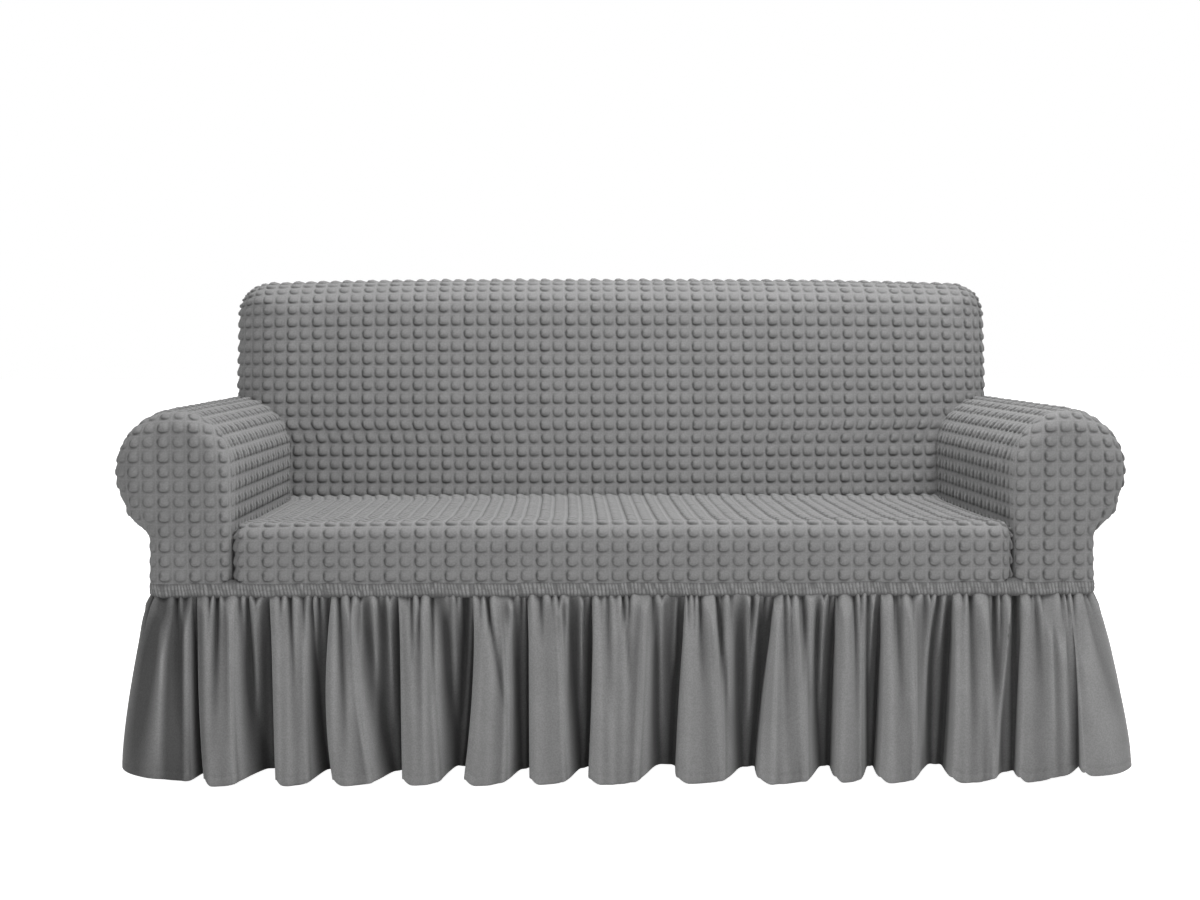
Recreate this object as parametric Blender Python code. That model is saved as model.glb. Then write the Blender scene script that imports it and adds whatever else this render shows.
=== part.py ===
"""Fitted two-seat sofa cover: bubble-knit body, shirred band and gathered skirt.

Metres, +Z up, +X to the right as one faces the seat, front at -Y. The origin is on the floor, under
the middle of the cover. Each piece of cloth is one sheet: its outer face is worked out on a grid of
points, and Solidify gives it its thickness on the inner side. The sofa inside is left out.
"""

import math
from collections import namedtuple

import bmesh
import bpy
import numpy as np

# Cloth and the gaps left along its seams
CLOTH = 0.002
SEAM = 0.0009
CURVED_SEAM = 0.0018

# Body as a whole
FRONT_Y = -0.425
REAR_Y = 0.425
BODY_FOOT_Z = 0.351
TUCK_Z = 0.415

# Arms: a post with a round roll on top
ROLL_X = 0.789
ROLL_Z = 0.5455
ROLL_R = 0.111
ROLL_END_ANGLE = math.radians(-60)
UNDER_ROLL_Z = 0.425
UNDER_ROLL_DIP = 0.012
ARM_INNER_FRONT = 0.689
ARM_INNER_REAR = 0.677
POST_X = 0.839
ARM_STEPS = 6
CREST_STEPS = 3
ARM_FRONT_STEPS = 4

# Turned-back edge of the arm fronts, deeper round the outside of the roll
RIM_POST = 0.024
RIM_ROLL = 0.050
RIM_GROWS_X = (0.76, 0.84)
RIM_GROWS_Z = (0.44, 0.50)
ARM_FRONT_TOP_TURN = math.radians(9)

# Steps of a soft rounded edge, and grid lines in from a turned one, close together where it is steep
EDGE_TURN = np.radians([0, 30, 60, 90])
SIDE_LINES = np.array([0.0, 0.0006, 0.004, 0.013, 0.034])
TOP_LINES = np.array([0.0, 0.0006, 0.003, 0.009, 0.022, 0.042, 0.070])
REAR_LINES = np.array([0.0, 0.0006, 0.006, 0.030])

# Seat
SEAT_Z = 0.456
SEAT_CROWN = 0.004
SEAT_EDGE_R = 0.030
SEAT_SIDE_WIDTH = 0.036
SEAT_SIDE_DROP = 0.044
SEAT_FRONT_RIM = 0.022
SEAT_REAR_DROP = 0.009
SEAT_DEEPENS_Y = (-0.395, -0.305)
SEAT_SHALLOWS_Y = (0.030, 0.130)
SEAT_COLUMNS = 8
SEAT_FRONT_STEPS = 4
SEAT_REAR_STEPS = 3
SEAT_DROP_Z = 0.392
SEAT_DECK_SHARES = np.array([0.12, 0.35, 0.65, 0.88])

# Back
BACK_FOOT_Y = 0.165
BACK_LEAN = math.tan(math.radians(9.5))
BACK_SIDE_FALL = 0.040
BACK_HALF = 0.808
BACK_TOP_Z = 0.908
BACK_TOP_DOME = 0.010
BACK_DOME_FOOT_Z = 0.66
BACK_CORNER_R = 0.068
BACK_SIDE_WIDTH = 0.115
BACK_TOP_HEIGHT = 0.068
BACK_ROUND_DEPTH = 0.095
BACK_SEAM_Y = 0.395
BACK_FACE_COLUMNS = 5
BACK_MIDDLE_Z = 0.72
BACK_WALL = np.array([1.4, 2.0])
REAR_RIM = 0.030
REAR_SIDE_Z = np.array([0.70, 0.76])
REAR_CORNER_TURN = np.radians([0, 28, 52, 72, 84, 90])

# Band and skirt
BAND_TOP_Z = 0.3503
BAND_FOOT_Z = 0.3267
BAND_INSET = 0.0015
BAND_CORNER_R = 0.027
BAND_PUFF = 0.0015
BAND_STEPS_LONG = 6
BAND_STEPS_CORNER = 4
SKIRT_TOP_Z = 0.326
SKIRT_LEVELS = np.array([0.0, 0.07, 0.42, 1.0])
SKIRT_SPREAD = 1.7
GATHER_PUFF = 0.008
LOBE_SHAPE = 2.6
LOBE_STEPS = 4
VALLEY_STEPS = 3
TOP_LOBE_REACH = 0.003
TOP_VALLEY_REACH = -0.002
TOP_LOBE_SHARE = 0.85

# The skirt's main folds. at: how far along the band from the front middle (sides and rear: from the
# middle of that side, facing it). width: of the fold at the hem. reach: how far the fold stands out
# of the band at the hem. lean: how far its top lies to the right of its foot. dip: how far the
# valley after it goes behind the band. lift: how high the hem hangs in that valley.
Fold = namedtuple("Fold", "at width reach lean dip lift")
FRONT_FOLDS = [
    Fold(-0.809, 0.092, 0.069, 0.000, 0.010, 0.004),
    Fold(-0.714, 0.066, 0.042, -0.016, 0.020, 0.012),
    Fold(-0.595, 0.068, 0.034, -0.012, 0.022, 0.014),
    Fold(-0.490, 0.076, 0.036, -0.008, 0.018, 0.008),
    Fold(-0.365, 0.082, 0.034, -0.010, 0.024, 0.022),
    Fold(-0.258, 0.068, 0.042, -0.012, 0.018, 0.010),
    Fold(-0.135, 0.077, 0.035, -0.009, 0.020, 0.011),
    Fold(-0.018, 0.099, 0.038, -0.006, 0.024, 0.023),
    Fold(0.138, 0.094, 0.033, 0.011, 0.022, 0.014),
    Fold(0.286, 0.097, 0.040, 0.016, 0.022, 0.015),
    Fold(0.399, 0.051, 0.030, 0.003, 0.022, 0.015),
    Fold(0.491, 0.070, 0.036, 0.000, 0.024, 0.020),
    Fold(0.628, 0.077, 0.037, 0.006, 0.008, 0.008),
    Fold(0.736, 0.092, 0.038, 0.004, 0.004, 0.010),
    Fold(0.825, 0.070, 0.078, -0.010, 0.004, 0.012),
]
SIDE_FOLDS = [
    Fold(-0.325, 0.080, 0.052, 0.005, 0.010, 0.010),
    Fold(-0.200, 0.084, 0.050, -0.006, 0.014, 0.012),
    Fold(-0.075, 0.074, 0.054, 0.004, 0.012, 0.008),
    Fold(0.045, 0.086, 0.049, -0.004, 0.016, 0.013),
    Fold(0.172, 0.078, 0.053, 0.006, 0.011, 0.009),
    Fold(0.300, 0.088, 0.050, -0.005, 0.010, 0.010),
]
REAR_CORNER_FOLD = Fold(0.822, 0.074, 0.056, 0.0, 0.008, 0.008)
REAR_FOLD_COUNT = 12
REAR_FOLD = Fold(0.128, 0.080, 0.044, 0.006, 0.018, 0.010)

Finish = namedtuple("Finish", "colour roughness")
BUBBLE_KNIT = Finish((0.215, 0.215, 0.215, 1.0), 0.92)
SHIRRED_KNIT = Finish((0.225, 0.225, 0.225, 1.0), 0.90)
SKIRT_KNIT = Finish((0.180, 0.180, 0.180, 1.0), 0.88)


def clear_scene():
    for old in list(bpy.data.objects):
        bpy.data.objects.remove(old, do_unlink=True)


def finish_material(name, finish):
    """A plain cloth finish: one Principled shader with the piece's colour and roughness."""
    material = bpy.data.materials.new(name)
    material.use_nodes = True
    shader = material.node_tree.nodes["Principled BSDF"]
    shader.inputs["Base Color"].default_value = finish.colour
    shader.inputs["Roughness"].default_value = finish.roughness
    shader.inputs["Metallic"].default_value = 0.0
    material.diffuse_color = finish.colour
    return material


def sheet(name, grid, finish, keep=None, ring=False, inside_out=False):
    """One piece of cloth from a (rows, columns, 3) grid of its outer face.

    keep says which cells of the grid are cloth, and ring joins the last column to the first."""
    rows, columns = grid.shape[:2]
    last = columns if ring else columns - 1
    mesh = bpy.data.meshes.new(name)
    faces = []
    for row in range(rows - 1):
        for column in range(last):
            if keep is not None and not keep[row, column]:
                continue
            beside = (column + 1) % columns
            corners = [
                row * columns + column,
                row * columns + beside,
                (row + 1) * columns + beside,
                (row + 1) * columns + column,
            ]
            faces.append(corners[::-1] if inside_out else corners)
    mesh.from_pydata(grid.reshape(-1, 3).tolist(), [], faces)
    model = bmesh.new()
    model.from_mesh(mesh)
    bmesh.ops.remove_doubles(model, verts=model.verts, dist=1e-5)
    stray = [vertex for vertex in model.verts if not vertex.link_faces]
    bmesh.ops.delete(model, geom=stray, context="VERTS")
    model.to_mesh(mesh)
    model.free()
    mesh.shade_smooth()
    mesh.materials.append(finish_material(name, finish))
    piece = bpy.data.objects.new(name, mesh)
    bpy.context.scene.collection.objects.link(piece)
    cloth = piece.modifiers.new("cloth thickness", "SOLIDIFY")
    cloth.thickness = CLOTH
    cloth.offset = -1.0
    return piece


def arc(centre, radius, start, end, steps):
    """Points of a circular arc, steps + 1 of them."""
    angle = np.linspace(start, end, steps + 1)
    return np.stack([centre[0] + radius * np.cos(angle), centre[1] + radius * np.sin(angle)], 1)


def rim_fall(distance, radius):
    """How far a quarter-round edge has turned back, at a distance in from its outline."""
    left = np.clip(radius - distance, 0, radius)
    return radius - np.sqrt(radius**2 - left**2)


def outline_distance(points, outline):
    """Shortest distance from each point to a line through the outline's points."""
    start = outline[:-1]
    along = outline[1:] - start
    offset = points[..., None, :] - start
    share = np.clip((offset * along).sum(-1) / (along**2).sum(-1), 0, 1)
    return np.linalg.norm(offset - share[..., None] * along, axis=-1).min(-1)


def smooth_step(value, low, high):
    share = np.clip((value - low) / (high - low), 0, 1)
    return share * share * (3 - 2 * share)


def back_face_y(x, z):
    """The front of the back: it leans, and falls away towards its sides."""
    return BACK_FOOT_Y + BACK_LEAN * (z - SEAT_Z) + BACK_SIDE_FALL * (np.abs(x) / BACK_HALF) ** 3


def arm_inner_x(y):
    """Inner side of the right arm: the arm thickens a little towards the back."""
    share = (y - FRONT_Y) / (BACK_FOOT_Y - FRONT_Y)
    return ARM_INNER_FRONT + (ARM_INNER_REAR - ARM_INNER_FRONT) * np.clip(share, 0, 1)


def arm_rim(x, z):
    """Radius of the arm front's turned-back edge."""
    round_part = smooth_step(x, *RIM_GROWS_X) * smooth_step(z, *RIM_GROWS_Z)
    return RIM_POST + (RIM_ROLL - RIM_POST) * round_part


def arm_section(foot_z, steps):
    """The right arm's section (x, z), from the inner foot over the roll to the outer foot.

    It returns the points and the index of the one where the side of the back starts."""
    stretch = (ROLL_X - ARM_INNER_REAR) / ROLL_R
    side_start = math.acos((BACK_HALF - BACK_SIDE_WIDTH - ROLL_X) / (ROLL_R * stretch))
    centre = (ROLL_X, ROLL_Z)
    inner = np.linspace((ROLL_X - ROLL_R, foot_z), (ROLL_X - ROLL_R, ROLL_Z), 3)
    shoulder = arc(centre, ROLL_R, math.pi, side_start, steps)
    crest = arc(centre, ROLL_R, side_start, math.pi / 2, CREST_STEPS)
    outer = arc(centre, ROLL_R, math.pi / 2, ROLL_END_ANGLE, 2 * steps)
    share = np.linspace(0, 1, 4)[:, None]
    corner = np.array([POST_X, outer[-1, 1] - UNDER_ROLL_DIP])
    foot = np.array([POST_X, UNDER_ROLL_Z])
    under = (1 - share) ** 2 * outer[-1] + 2 * share * (1 - share) * corner + share**2 * foot
    post = np.linspace(foot, (POST_X, BODY_FOOT_Z), 3)
    points = np.concatenate([inner[:-1], shoulder[:-1], crest[:-1], outer[:-1], under[:-1], post])
    return points, len(inner) + len(shoulder) - 2


def arm_section_x(x, y):
    """The inner half of the section widens a little towards the rear."""
    stretch = (ROLL_X - arm_inner_x(y)) / ROLL_R
    return np.where(x < ROLL_X, ROLL_X - (ROLL_X - x) * stretch, x)


def arm_outline(side):
    """Inner (side -1) or outer (side +1) half of the arm's front outline, from its foot up."""
    points, _ = arm_section(BODY_FOOT_Z, 4 * ARM_STEPS)
    points[:, 0] = arm_section_x(points[:, 0], FRONT_Y)
    crest = int(points[:, 1].argmax())
    return points[: crest + 1] if side < 0 else points[crest:][::-1]


def arm_levels(below):
    """Heights of the section's outer points, from the foot up to a given height."""
    points, _ = arm_section(BODY_FOOT_Z, ARM_FRONT_STEPS)
    crest = int(points[:, 1].argmax())
    levels = points[crest:, 1][::-1]
    return levels[levels < below]


def mirror(grid):
    """The same piece for the left side."""
    return grid * np.array([-1.0, 1.0, 1.0])


def add_arms():
    """Each arm is one panel: inner side, over the roll, under it and down the outer side."""
    section, side_start = arm_section(TUCK_Z, ARM_STEPS)
    fore_rows = 4
    x, z = section[:, 0], section[:, 1]
    front = FRONT_Y + arm_rim(x, z) + CURVED_SEAM
    at_back = back_face_y(arm_section_x(x, BACK_FOOT_Y), z) - SEAM
    at_back[side_start:] = at_back[side_start]
    share = np.linspace(0, 1, fore_rows)[:, None]
    y = np.concatenate([front + (at_back - front) * share, np.full((1, len(x)), BACK_SEAM_Y - SEAM)])
    grid = np.stack([arm_section_x(x[None, :], y), y, np.broadcast_to(z, y.shape)], 2)
    keep = np.ones((y.shape[0] - 1, y.shape[1] - 1), bool)
    keep[fore_rows - 1 :, :side_start] = False
    sheet("arm_right", grid, BUBBLE_KNIT, keep)
    sheet("arm_left", mirror(grid), BUBBLE_KNIT, keep, inside_out=True)


def add_arm_fronts():
    """The facing of each arm: flat in the middle, its edge turned back to meet the arm's panel."""
    top_z = ROLL_Z + ROLL_R * math.cos(ARM_FRONT_TOP_TURN)
    top_rows = (top_z - TOP_LINES)[::-1]
    z = np.concatenate([arm_levels(top_rows[0])[:-1], top_rows])
    inner_outline, outer_outline = arm_outline(-1), arm_outline(1)
    inner = np.interp(z, inner_outline[:, 1], inner_outline[:, 0])[:, None]
    outer = np.interp(z, outer_outline[:, 1], outer_outline[:, 0])[:, None]
    half = (outer - inner) / 2
    from_edge = np.minimum(SIDE_LINES, half * np.linspace(0, 0.9, len(SIDE_LINES)))
    x = np.concatenate([inner + from_edge, (outer - from_edge)[:, ::-1]], 1)
    z = np.broadcast_to(z[:, None], x.shape)
    outline = np.concatenate([inner_outline, outer_outline[-2::-1]])
    distance = outline_distance(np.stack([x, z], 2), outline)
    distance[-1] = 0
    grid = np.stack([x, FRONT_Y + rim_fall(distance, arm_rim(x, z)), z], 2)
    sheet("arm_front_right", grid, BUBBLE_KNIT)
    sheet("arm_front_left", mirror(grid), BUBBLE_KNIT, inside_out=True)


def seat_profile():
    """Rows of the seat, from the foot of its front drop to the tuck behind: y, z, the direction
    that the cloth faces, how far the row follows the back's curve, and the width and drop of its
    side edges."""
    centre_z = SEAT_Z - SEAT_EDGE_R
    rear_y = BACK_FOOT_Y - CURVED_SEAM
    front = arc((FRONT_Y + SEAT_EDGE_R, centre_z), SEAT_EDGE_R, math.pi, math.pi / 2, SEAT_FRONT_STEPS)
    rear = arc((rear_y - SEAT_EDGE_R, centre_z), SEAT_EDGE_R, math.pi / 2, 0, SEAT_REAR_STEPS)
    drop = np.array([(FRONT_Y, BODY_FOOT_Z), (FRONT_Y, SEAT_DROP_Z)])
    deck = front[-1] + (rear[0] - front[-1]) * SEAT_DECK_SHARES[:, None]
    foot = np.array([(rear_y, TUCK_Z)])
    points = np.concatenate([drop, front, deck, rear, foot])
    turns = [
        np.full(len(drop), math.pi),
        np.linspace(math.pi, math.pi / 2, len(front)),
        np.full(len(deck), math.pi / 2),
        np.linspace(math.pi / 2, 0, len(rear)),
        [0.0],
    ]
    turn = np.concatenate(turns)
    normal = np.stack([np.cos(turn), np.sin(turn)], 1)
    y = points[:, 0]
    follow = np.clip((y - FRONT_Y) / (rear[0, 0] - FRONT_Y), 0, 1)
    on_deck = smooth_step(y, *SEAT_DEEPENS_Y) * (1 - smooth_step(y, *SEAT_SHALLOWS_Y))
    width = SEAT_FRONT_RIM + (SEAT_SIDE_WIDTH - SEAT_FRONT_RIM) * on_deck
    ends = np.where(y < sum(SEAT_DEEPENS_Y) / 2, SEAT_FRONT_RIM, SEAT_REAR_DROP)
    return points, normal, follow, width, ends + (SEAT_SIDE_DROP - ends) * on_deck


def add_seat():
    """Deck and front drop in one panel, its side edges turned down into the tuck beside the arms."""
    points, normal, follow, width, drop_depth = seat_profile()
    turn = EDGE_TURN[::-1]
    middle = np.linspace(-1, 1, SEAT_COLUMNS + 1)[1:-1]
    inward = np.concatenate([1 - np.sin(turn), np.ones(len(middle)), (1 - np.sin(turn))[::-1]])
    depth = np.concatenate([1 - np.cos(turn), np.zeros(len(middle)), (1 - np.cos(turn))[::-1]])
    side = np.concatenate([-np.ones(len(turn)), middle, np.ones(len(turn))])
    half = arm_inner_x(points[:, 0])[:, None] - SEAM
    x = side * (half - width[:, None] * inward)
    fall = depth * drop_depth[:, None]
    rear_shift = back_face_y(x, TUCK_Z) - BACK_FOOT_Y
    y = points[:, :1] + rear_shift * follow[:, None] - normal[:, :1] * fall
    crown = SEAT_CROWN * (1 - (x / ARM_INNER_REAR) ** 2) * normal[:, 1:]
    z = points[:, 1:] + crown - normal[:, 1:] * fall
    sheet("seat", np.stack([x, y, z], 2), BUBBLE_KNIT)


def top_dome(x, z):
    """How far the back's top has dropped towards its ends."""
    return BACK_TOP_DOME * (np.abs(x) / BACK_HALF) ** 3 * smooth_step(z, BACK_DOME_FOOT_Z, BACK_TOP_Z)


def back_outline_point(x, z):
    """Rounds the back's top corners and drops its top line a little towards its ends.

    In each corner a square is pressed into a quarter disc, so rows and columns bend with it."""
    start_x = BACK_HALF - BACK_CORNER_R
    start_z = BACK_TOP_Z - BACK_CORNER_R
    a = np.clip((np.abs(x) - start_x) / BACK_CORNER_R, 0, 1)
    b = np.clip((z - start_z) / BACK_CORNER_R, 0, 1)
    in_corner = (a > 0) & (b > 0)
    round_x = np.where(in_corner, start_x + BACK_CORNER_R * a * np.sqrt(1 - b * b / 2), np.abs(x))
    round_z = np.where(in_corner, start_z + BACK_CORNER_R * b * np.sqrt(1 - a * a / 2), z)
    return np.sign(x) * round_x, round_z - top_dome(x, z)


def back_fall(turned, round_share):
    """Share of the way from the back's face to the rear seam: first the round edge, then the wall."""
    in_round = np.clip(turned, 0, 1) * round_share
    in_wall = np.clip(turned - 1, 0, 1) * (1 - round_share)
    return in_round + in_wall


def add_inside_back():
    """One panel: up the front of the back, then over its top and round its sides to the rear seam.

    turned says how far a column or row has gone round the edge, from 0 on the front face, by way of
    a quarter round, to 1 and then 2 at the seam. Below the arms' tops it lies between the arms."""
    flat_half = BACK_HALF - BACK_SIDE_WIDTH
    section, side_start = arm_section(TUCK_Z, ARM_STEPS)
    section_x = arm_section_x(section[:, 0], BACK_FOOT_Y)
    over_x = section_x[side_start : side_start + CREST_STEPS + 1]
    flat_x = np.linspace(0, flat_half, BACK_FACE_COLUMNS + 1)[:-1]
    round_x = np.append(over_x, BACK_HALF)
    round_turned = 1 - np.sqrt(1 - ((round_x - flat_half) / BACK_SIDE_WIDTH).clip(0, 1) ** 2)
    side_x = np.concatenate([flat_x, round_x, np.full(len(BACK_WALL), BACK_HALF)])
    side_turned = np.concatenate([np.zeros(len(flat_x)), round_turned, BACK_WALL])
    column_x = np.concatenate([-side_x[:0:-1], side_x])
    column_turned = np.concatenate([side_turned[:0:-1], side_turned])

    arm_x = section_x[: side_start + 1]
    arm_z = section[: side_start + 1, 1]
    junction_z = arm_z[-1] + SEAM
    face_top = BACK_TOP_Z - BACK_TOP_HEIGHT
    face_z = np.array([junction_z, BACK_MIDDLE_Z, face_top])
    round_z = face_top + BACK_TOP_HEIGHT * np.sin(EDGE_TURN[1:])
    row_z = np.concatenate([arm_z[:-1], face_z, round_z, np.full(len(BACK_WALL), BACK_TOP_Z)])
    flat_rows = len(arm_z) - 1 + len(face_z)
    row_turned = np.concatenate([np.zeros(flat_rows), 1 - np.cos(EDGE_TURN[1:]), BACK_WALL])

    lower = len(arm_z) - 1
    shape = (len(row_z), len(column_x))
    x = np.broadcast_to(column_x, shape).copy()
    z = np.broadcast_to(row_z[:, None], shape).copy()
    x[:lower] *= ((arm_x[:-1] - SEAM) / flat_half)[:, None]
    over_roll = np.sqrt(np.clip(ROLL_R**2 - (np.abs(column_x) - ROLL_X) ** 2, 0, None))
    over_arm = ROLL_Z + over_roll + CURVED_SEAM
    beside = np.abs(column_x) > flat_half
    z[lower, beside] = np.maximum(over_arm[beside], junction_z)
    x, z = back_outline_point(x, z)

    face_y = back_face_y(x, z)
    to_seam = BACK_SEAM_Y - SEAM - face_y
    round_share = BACK_ROUND_DEPTH / to_seam
    fall_x = back_fall(np.broadcast_to(column_turned, shape), round_share)
    fall_z = back_fall(np.broadcast_to(row_turned[:, None], shape), round_share)
    y = face_y + to_seam * np.clip((fall_x**3 + fall_z**3) ** (1 / 3), 0, 1)

    keep = np.ones((shape[0] - 1, shape[1] - 1), bool)
    columns_turned = (column_turned[:-1] + column_turned[1:]) / 2
    rows_turned = (row_turned[:-1] + row_turned[1:]) / 2
    keep[:lower, columns_turned > 0] = False
    keep[np.ix_(rows_turned > 1, columns_turned > 1)] = False
    sheet("inside_back", np.stack([x, y, z], 2), BUBBLE_KNIT, keep)


def add_outside_back():
    """One panel over the rear, its outline taking in the arm rolls and the back's top corners."""
    crest_z = math.sqrt(ROLL_R**2 - (BACK_HALF - ROLL_X) ** 2) + ROLL_Z
    arm_z = arm_levels(crest_z)
    corner_z = BACK_TOP_Z - BACK_CORNER_R + BACK_CORNER_R * np.sin(REAR_CORNER_TURN)
    corner_x = BACK_HALF - BACK_CORNER_R + BACK_CORNER_R * np.cos(REAR_CORNER_TURN)
    z = np.concatenate([arm_z, [crest_z], REAR_SIDE_Z, corner_z])
    side_outline = arm_outline(1)
    arm_x = np.interp(arm_z, side_outline[:, 1], side_outline[:, 0])
    half = np.concatenate([arm_x, np.full(1 + len(REAR_SIDE_Z), BACK_HALF), corner_x])
    fill = np.linspace(-1, 1, 5)[1:-1]
    left = REAR_LINES - half[:, None]
    x = np.concatenate([left, fill * (half[:, None] - REAR_LINES[-1]), -left[:, ::-1]], 1)
    z = np.broadcast_to(z[:, None], x.shape)
    z = z - top_dome(x, z)
    edge = np.stack([half, z[:, 0]], 1)
    top_x = np.linspace(half[-1], -half[-1], 9)[1:-1]
    top_z = BACK_TOP_Z - top_dome(top_x, BACK_TOP_Z)
    outline = np.concatenate([edge, np.stack([top_x, top_z], 1), (edge * (-1, 1))[::-1]])
    distance = outline_distance(np.stack([x, z], 2), outline)
    distance[:, [0, -1]] = 0
    distance[-1] = 0
    y = REAR_Y + SEAM - rim_fall(distance, REAR_RIM)
    sheet("outside_back", np.stack([x, y, z], 2), BUBBLE_KNIT, inside_out=True)


def ring_runs():
    """Lengths of the band's straights and quarter rounds, anticlockwise from the front middle,
    with the corner centres that they run between and the direction faced, in radians."""
    x = POST_X - BAND_INSET - BAND_CORNER_R
    y = REAR_Y - BAND_INSET - BAND_CORNER_R
    quarter = BAND_CORNER_R * math.pi / 2
    lengths = [x, quarter, 2 * y, quarter, 2 * x, quarter, 2 * y, quarter, x]
    places = np.concatenate([[0], np.cumsum(lengths)])
    centre_x = [0, x, x, x, x, -x, -x, -x, -x, 0]
    centre_y = [-y, -y, -y, y, y, y, y, -y, -y, -y]
    facing = np.radians([-90, -90, 0, 0, 90, 90, 180, 180, 270, 270])
    return places, centre_x, centre_y, facing


def ring_point(at, reach):
    """Points standing out by reach from the band's line, a distance at along it."""
    places, centre_x, centre_y, facing = ring_runs()
    at = at % places[-1]
    angle = np.interp(at, places, facing)
    out = BAND_CORNER_R + reach
    x = np.interp(at, places, centre_x) + out * np.cos(angle)
    y = np.interp(at, places, centre_y) + out * np.sin(angle)
    return np.stack(np.broadcast_arrays(x, y), -1)


def add_gather_band():
    """A narrow ring between the body and the skirt, standing out a little at its middle."""
    places = ring_runs()[0]
    steps = [BAND_STEPS_LONG, BAND_STEPS_CORNER] * 4 + [BAND_STEPS_LONG]
    runs = [np.linspace(a, b, n + 1)[:-1] for a, b, n in zip(places[:-1], places[1:], steps)]
    at = np.concatenate(runs)
    z = np.linspace(BAND_FOOT_Z, BAND_TOP_Z, 3)[:, None] * np.ones(len(at))
    line = ring_point(at, np.array([0.0, BAND_PUFF, 0.0])[:, None])
    sheet("gather_band", np.concatenate([line, z[..., None]], 2), SHIRRED_KNIT, ring=True)


def all_folds():
    """Every main fold of the skirt in order round the ring, with at measured from the front middle."""
    side_middle = ring_runs()[0][-1] / 4
    rear = [REAR_CORNER_FOLD._replace(at=-REAR_CORNER_FOLD.at)]
    for index in range(REAR_FOLD_COUNT):
        sway = math.sin(2.4 * index + 0.7)
        fold = Fold(
            at=(index - (REAR_FOLD_COUNT - 1) / 2) * REAR_FOLD.at + 0.010 * sway,
            width=REAR_FOLD.width + 0.010 * math.sin(1.9 * index),
            reach=REAR_FOLD.reach + 0.004 * math.sin(3.1 * index + 1.0),
            lean=REAR_FOLD.lean * sway,
            dip=REAR_FOLD.dip + 0.005 * math.sin(2.7 * index),
            lift=REAR_FOLD.lift + 0.004 * math.sin(3.7 * index + 2.0),
        )
        rear.append(fold)
    rear.append(REAR_CORNER_FOLD)
    folds = []
    for quarter, group in enumerate([FRONT_FOLDS, SIDE_FOLDS, rear, SIDE_FOLDS]):
        folds += [fold._replace(at=quarter * side_middle + fold.at) for fold in group]
    return folds


def ripple(steps):
    """Half a boxy ripple, from one foot to the other: how far along (-1 to 1) and how far out."""
    angle = np.linspace(math.pi, 0, steps + 1)[:-1]
    power = 2 / LOBE_SHAPE
    along = np.sign(np.cos(angle)) * np.abs(np.cos(angle)) ** power
    return along, np.abs(np.sin(angle)) ** power


def add_skirt():
    """One long gathered strip: main folds that deepen and widen from the band to the hem."""
    fold = Fold(*np.array(all_folds()).T)
    next_at = np.append(fold.at[1:], fold.at[0] + ring_runs()[0][-1])
    next_lean = np.roll(fold.lean, -1)
    next_width = np.roll(fold.width, -1)
    lobe_along, lobe_out = ripple(LOBE_STEPS)
    valley_along, valley_out = ripple(VALLEY_STEPS)
    rows = []
    for level in SKIRT_LEVELS:
        deep = 1 - (1 - level) ** SKIRT_SPREAD
        puff = GATHER_PUFF * min(level / SKIRT_LEVELS[1], 1) * (1 - level)
        lobe = TOP_LOBE_REACH + (fold.reach - TOP_LOBE_REACH) * deep + puff
        dip = TOP_VALLEY_REACH + (-fold.dip - TOP_VALLEY_REACH) * deep + puff
        middle = (lobe + dip) / 2
        share = (TOP_LOBE_SHARE + (1 - TOP_LOBE_SHARE) * level) / 2
        centre = fold.at + fold.lean * (1 - level)
        start = centre + fold.width * share
        end = next_at + next_lean * (1 - level) - next_width * share
        lobe_at = centre[:, None] + (fold.width * share)[:, None] * lobe_along
        valley_at = ((start + end) / 2)[:, None] + ((end - start) / 2)[:, None] * valley_along
        lobe_reach = middle[:, None] + (lobe - middle)[:, None] * lobe_out
        valley_reach = middle[:, None] + (dip - middle)[:, None] * valley_out
        lift = fold.lift[:, None] * valley_out * level**2
        at = np.concatenate([lobe_at, valley_at], 1)
        reach = np.concatenate([lobe_reach, valley_reach], 1)
        rise = np.concatenate([np.zeros(lobe_at.shape), lift], 1)
        z = SKIRT_TOP_Z * (1 - level) + rise
        rows.append(np.concatenate([ring_point(at, reach), z[..., None]], 2).reshape(-1, 3))
    sheet("skirt", np.array(rows), SKIRT_KNIT, ring=True, inside_out=True)


clear_scene()
add_inside_back()
add_outside_back()
add_seat()
add_arms()
add_arm_fronts()
add_gather_band()
add_skirt()
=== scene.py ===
# %% [markdown]
# # A stretch sofa cover in bubble knit, with a gathered skirt
# The cover hides a two-seat sofa with rounded arms. The part's solids give every panel's place, so each
# visible piece below is worked out again from the same few sizes, in metres, with +Z up, +X to the
# right as one faces the seat and the front at -Y. What the solids leave out is added here: the raised
# bubbles, the fine puckers of the band, and the small gathers that run into the skirt's big folds.

import math
from collections import namedtuple
from functools import partial, reduce

import bmesh
import bpy
import numpy as np
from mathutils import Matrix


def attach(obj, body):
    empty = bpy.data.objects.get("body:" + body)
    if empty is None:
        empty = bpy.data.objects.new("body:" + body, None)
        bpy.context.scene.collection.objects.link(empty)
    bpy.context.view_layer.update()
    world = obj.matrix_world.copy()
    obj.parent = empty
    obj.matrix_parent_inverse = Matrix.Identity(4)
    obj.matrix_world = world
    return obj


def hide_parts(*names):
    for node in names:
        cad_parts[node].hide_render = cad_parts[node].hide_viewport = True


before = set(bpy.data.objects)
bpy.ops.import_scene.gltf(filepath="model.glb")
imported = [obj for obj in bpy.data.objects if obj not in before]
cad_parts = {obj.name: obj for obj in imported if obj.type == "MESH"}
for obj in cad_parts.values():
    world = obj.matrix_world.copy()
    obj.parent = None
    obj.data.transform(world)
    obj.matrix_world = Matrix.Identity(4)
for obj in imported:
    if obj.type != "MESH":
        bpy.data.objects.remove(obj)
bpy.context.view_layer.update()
print("nodes:", sorted(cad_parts))


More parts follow.
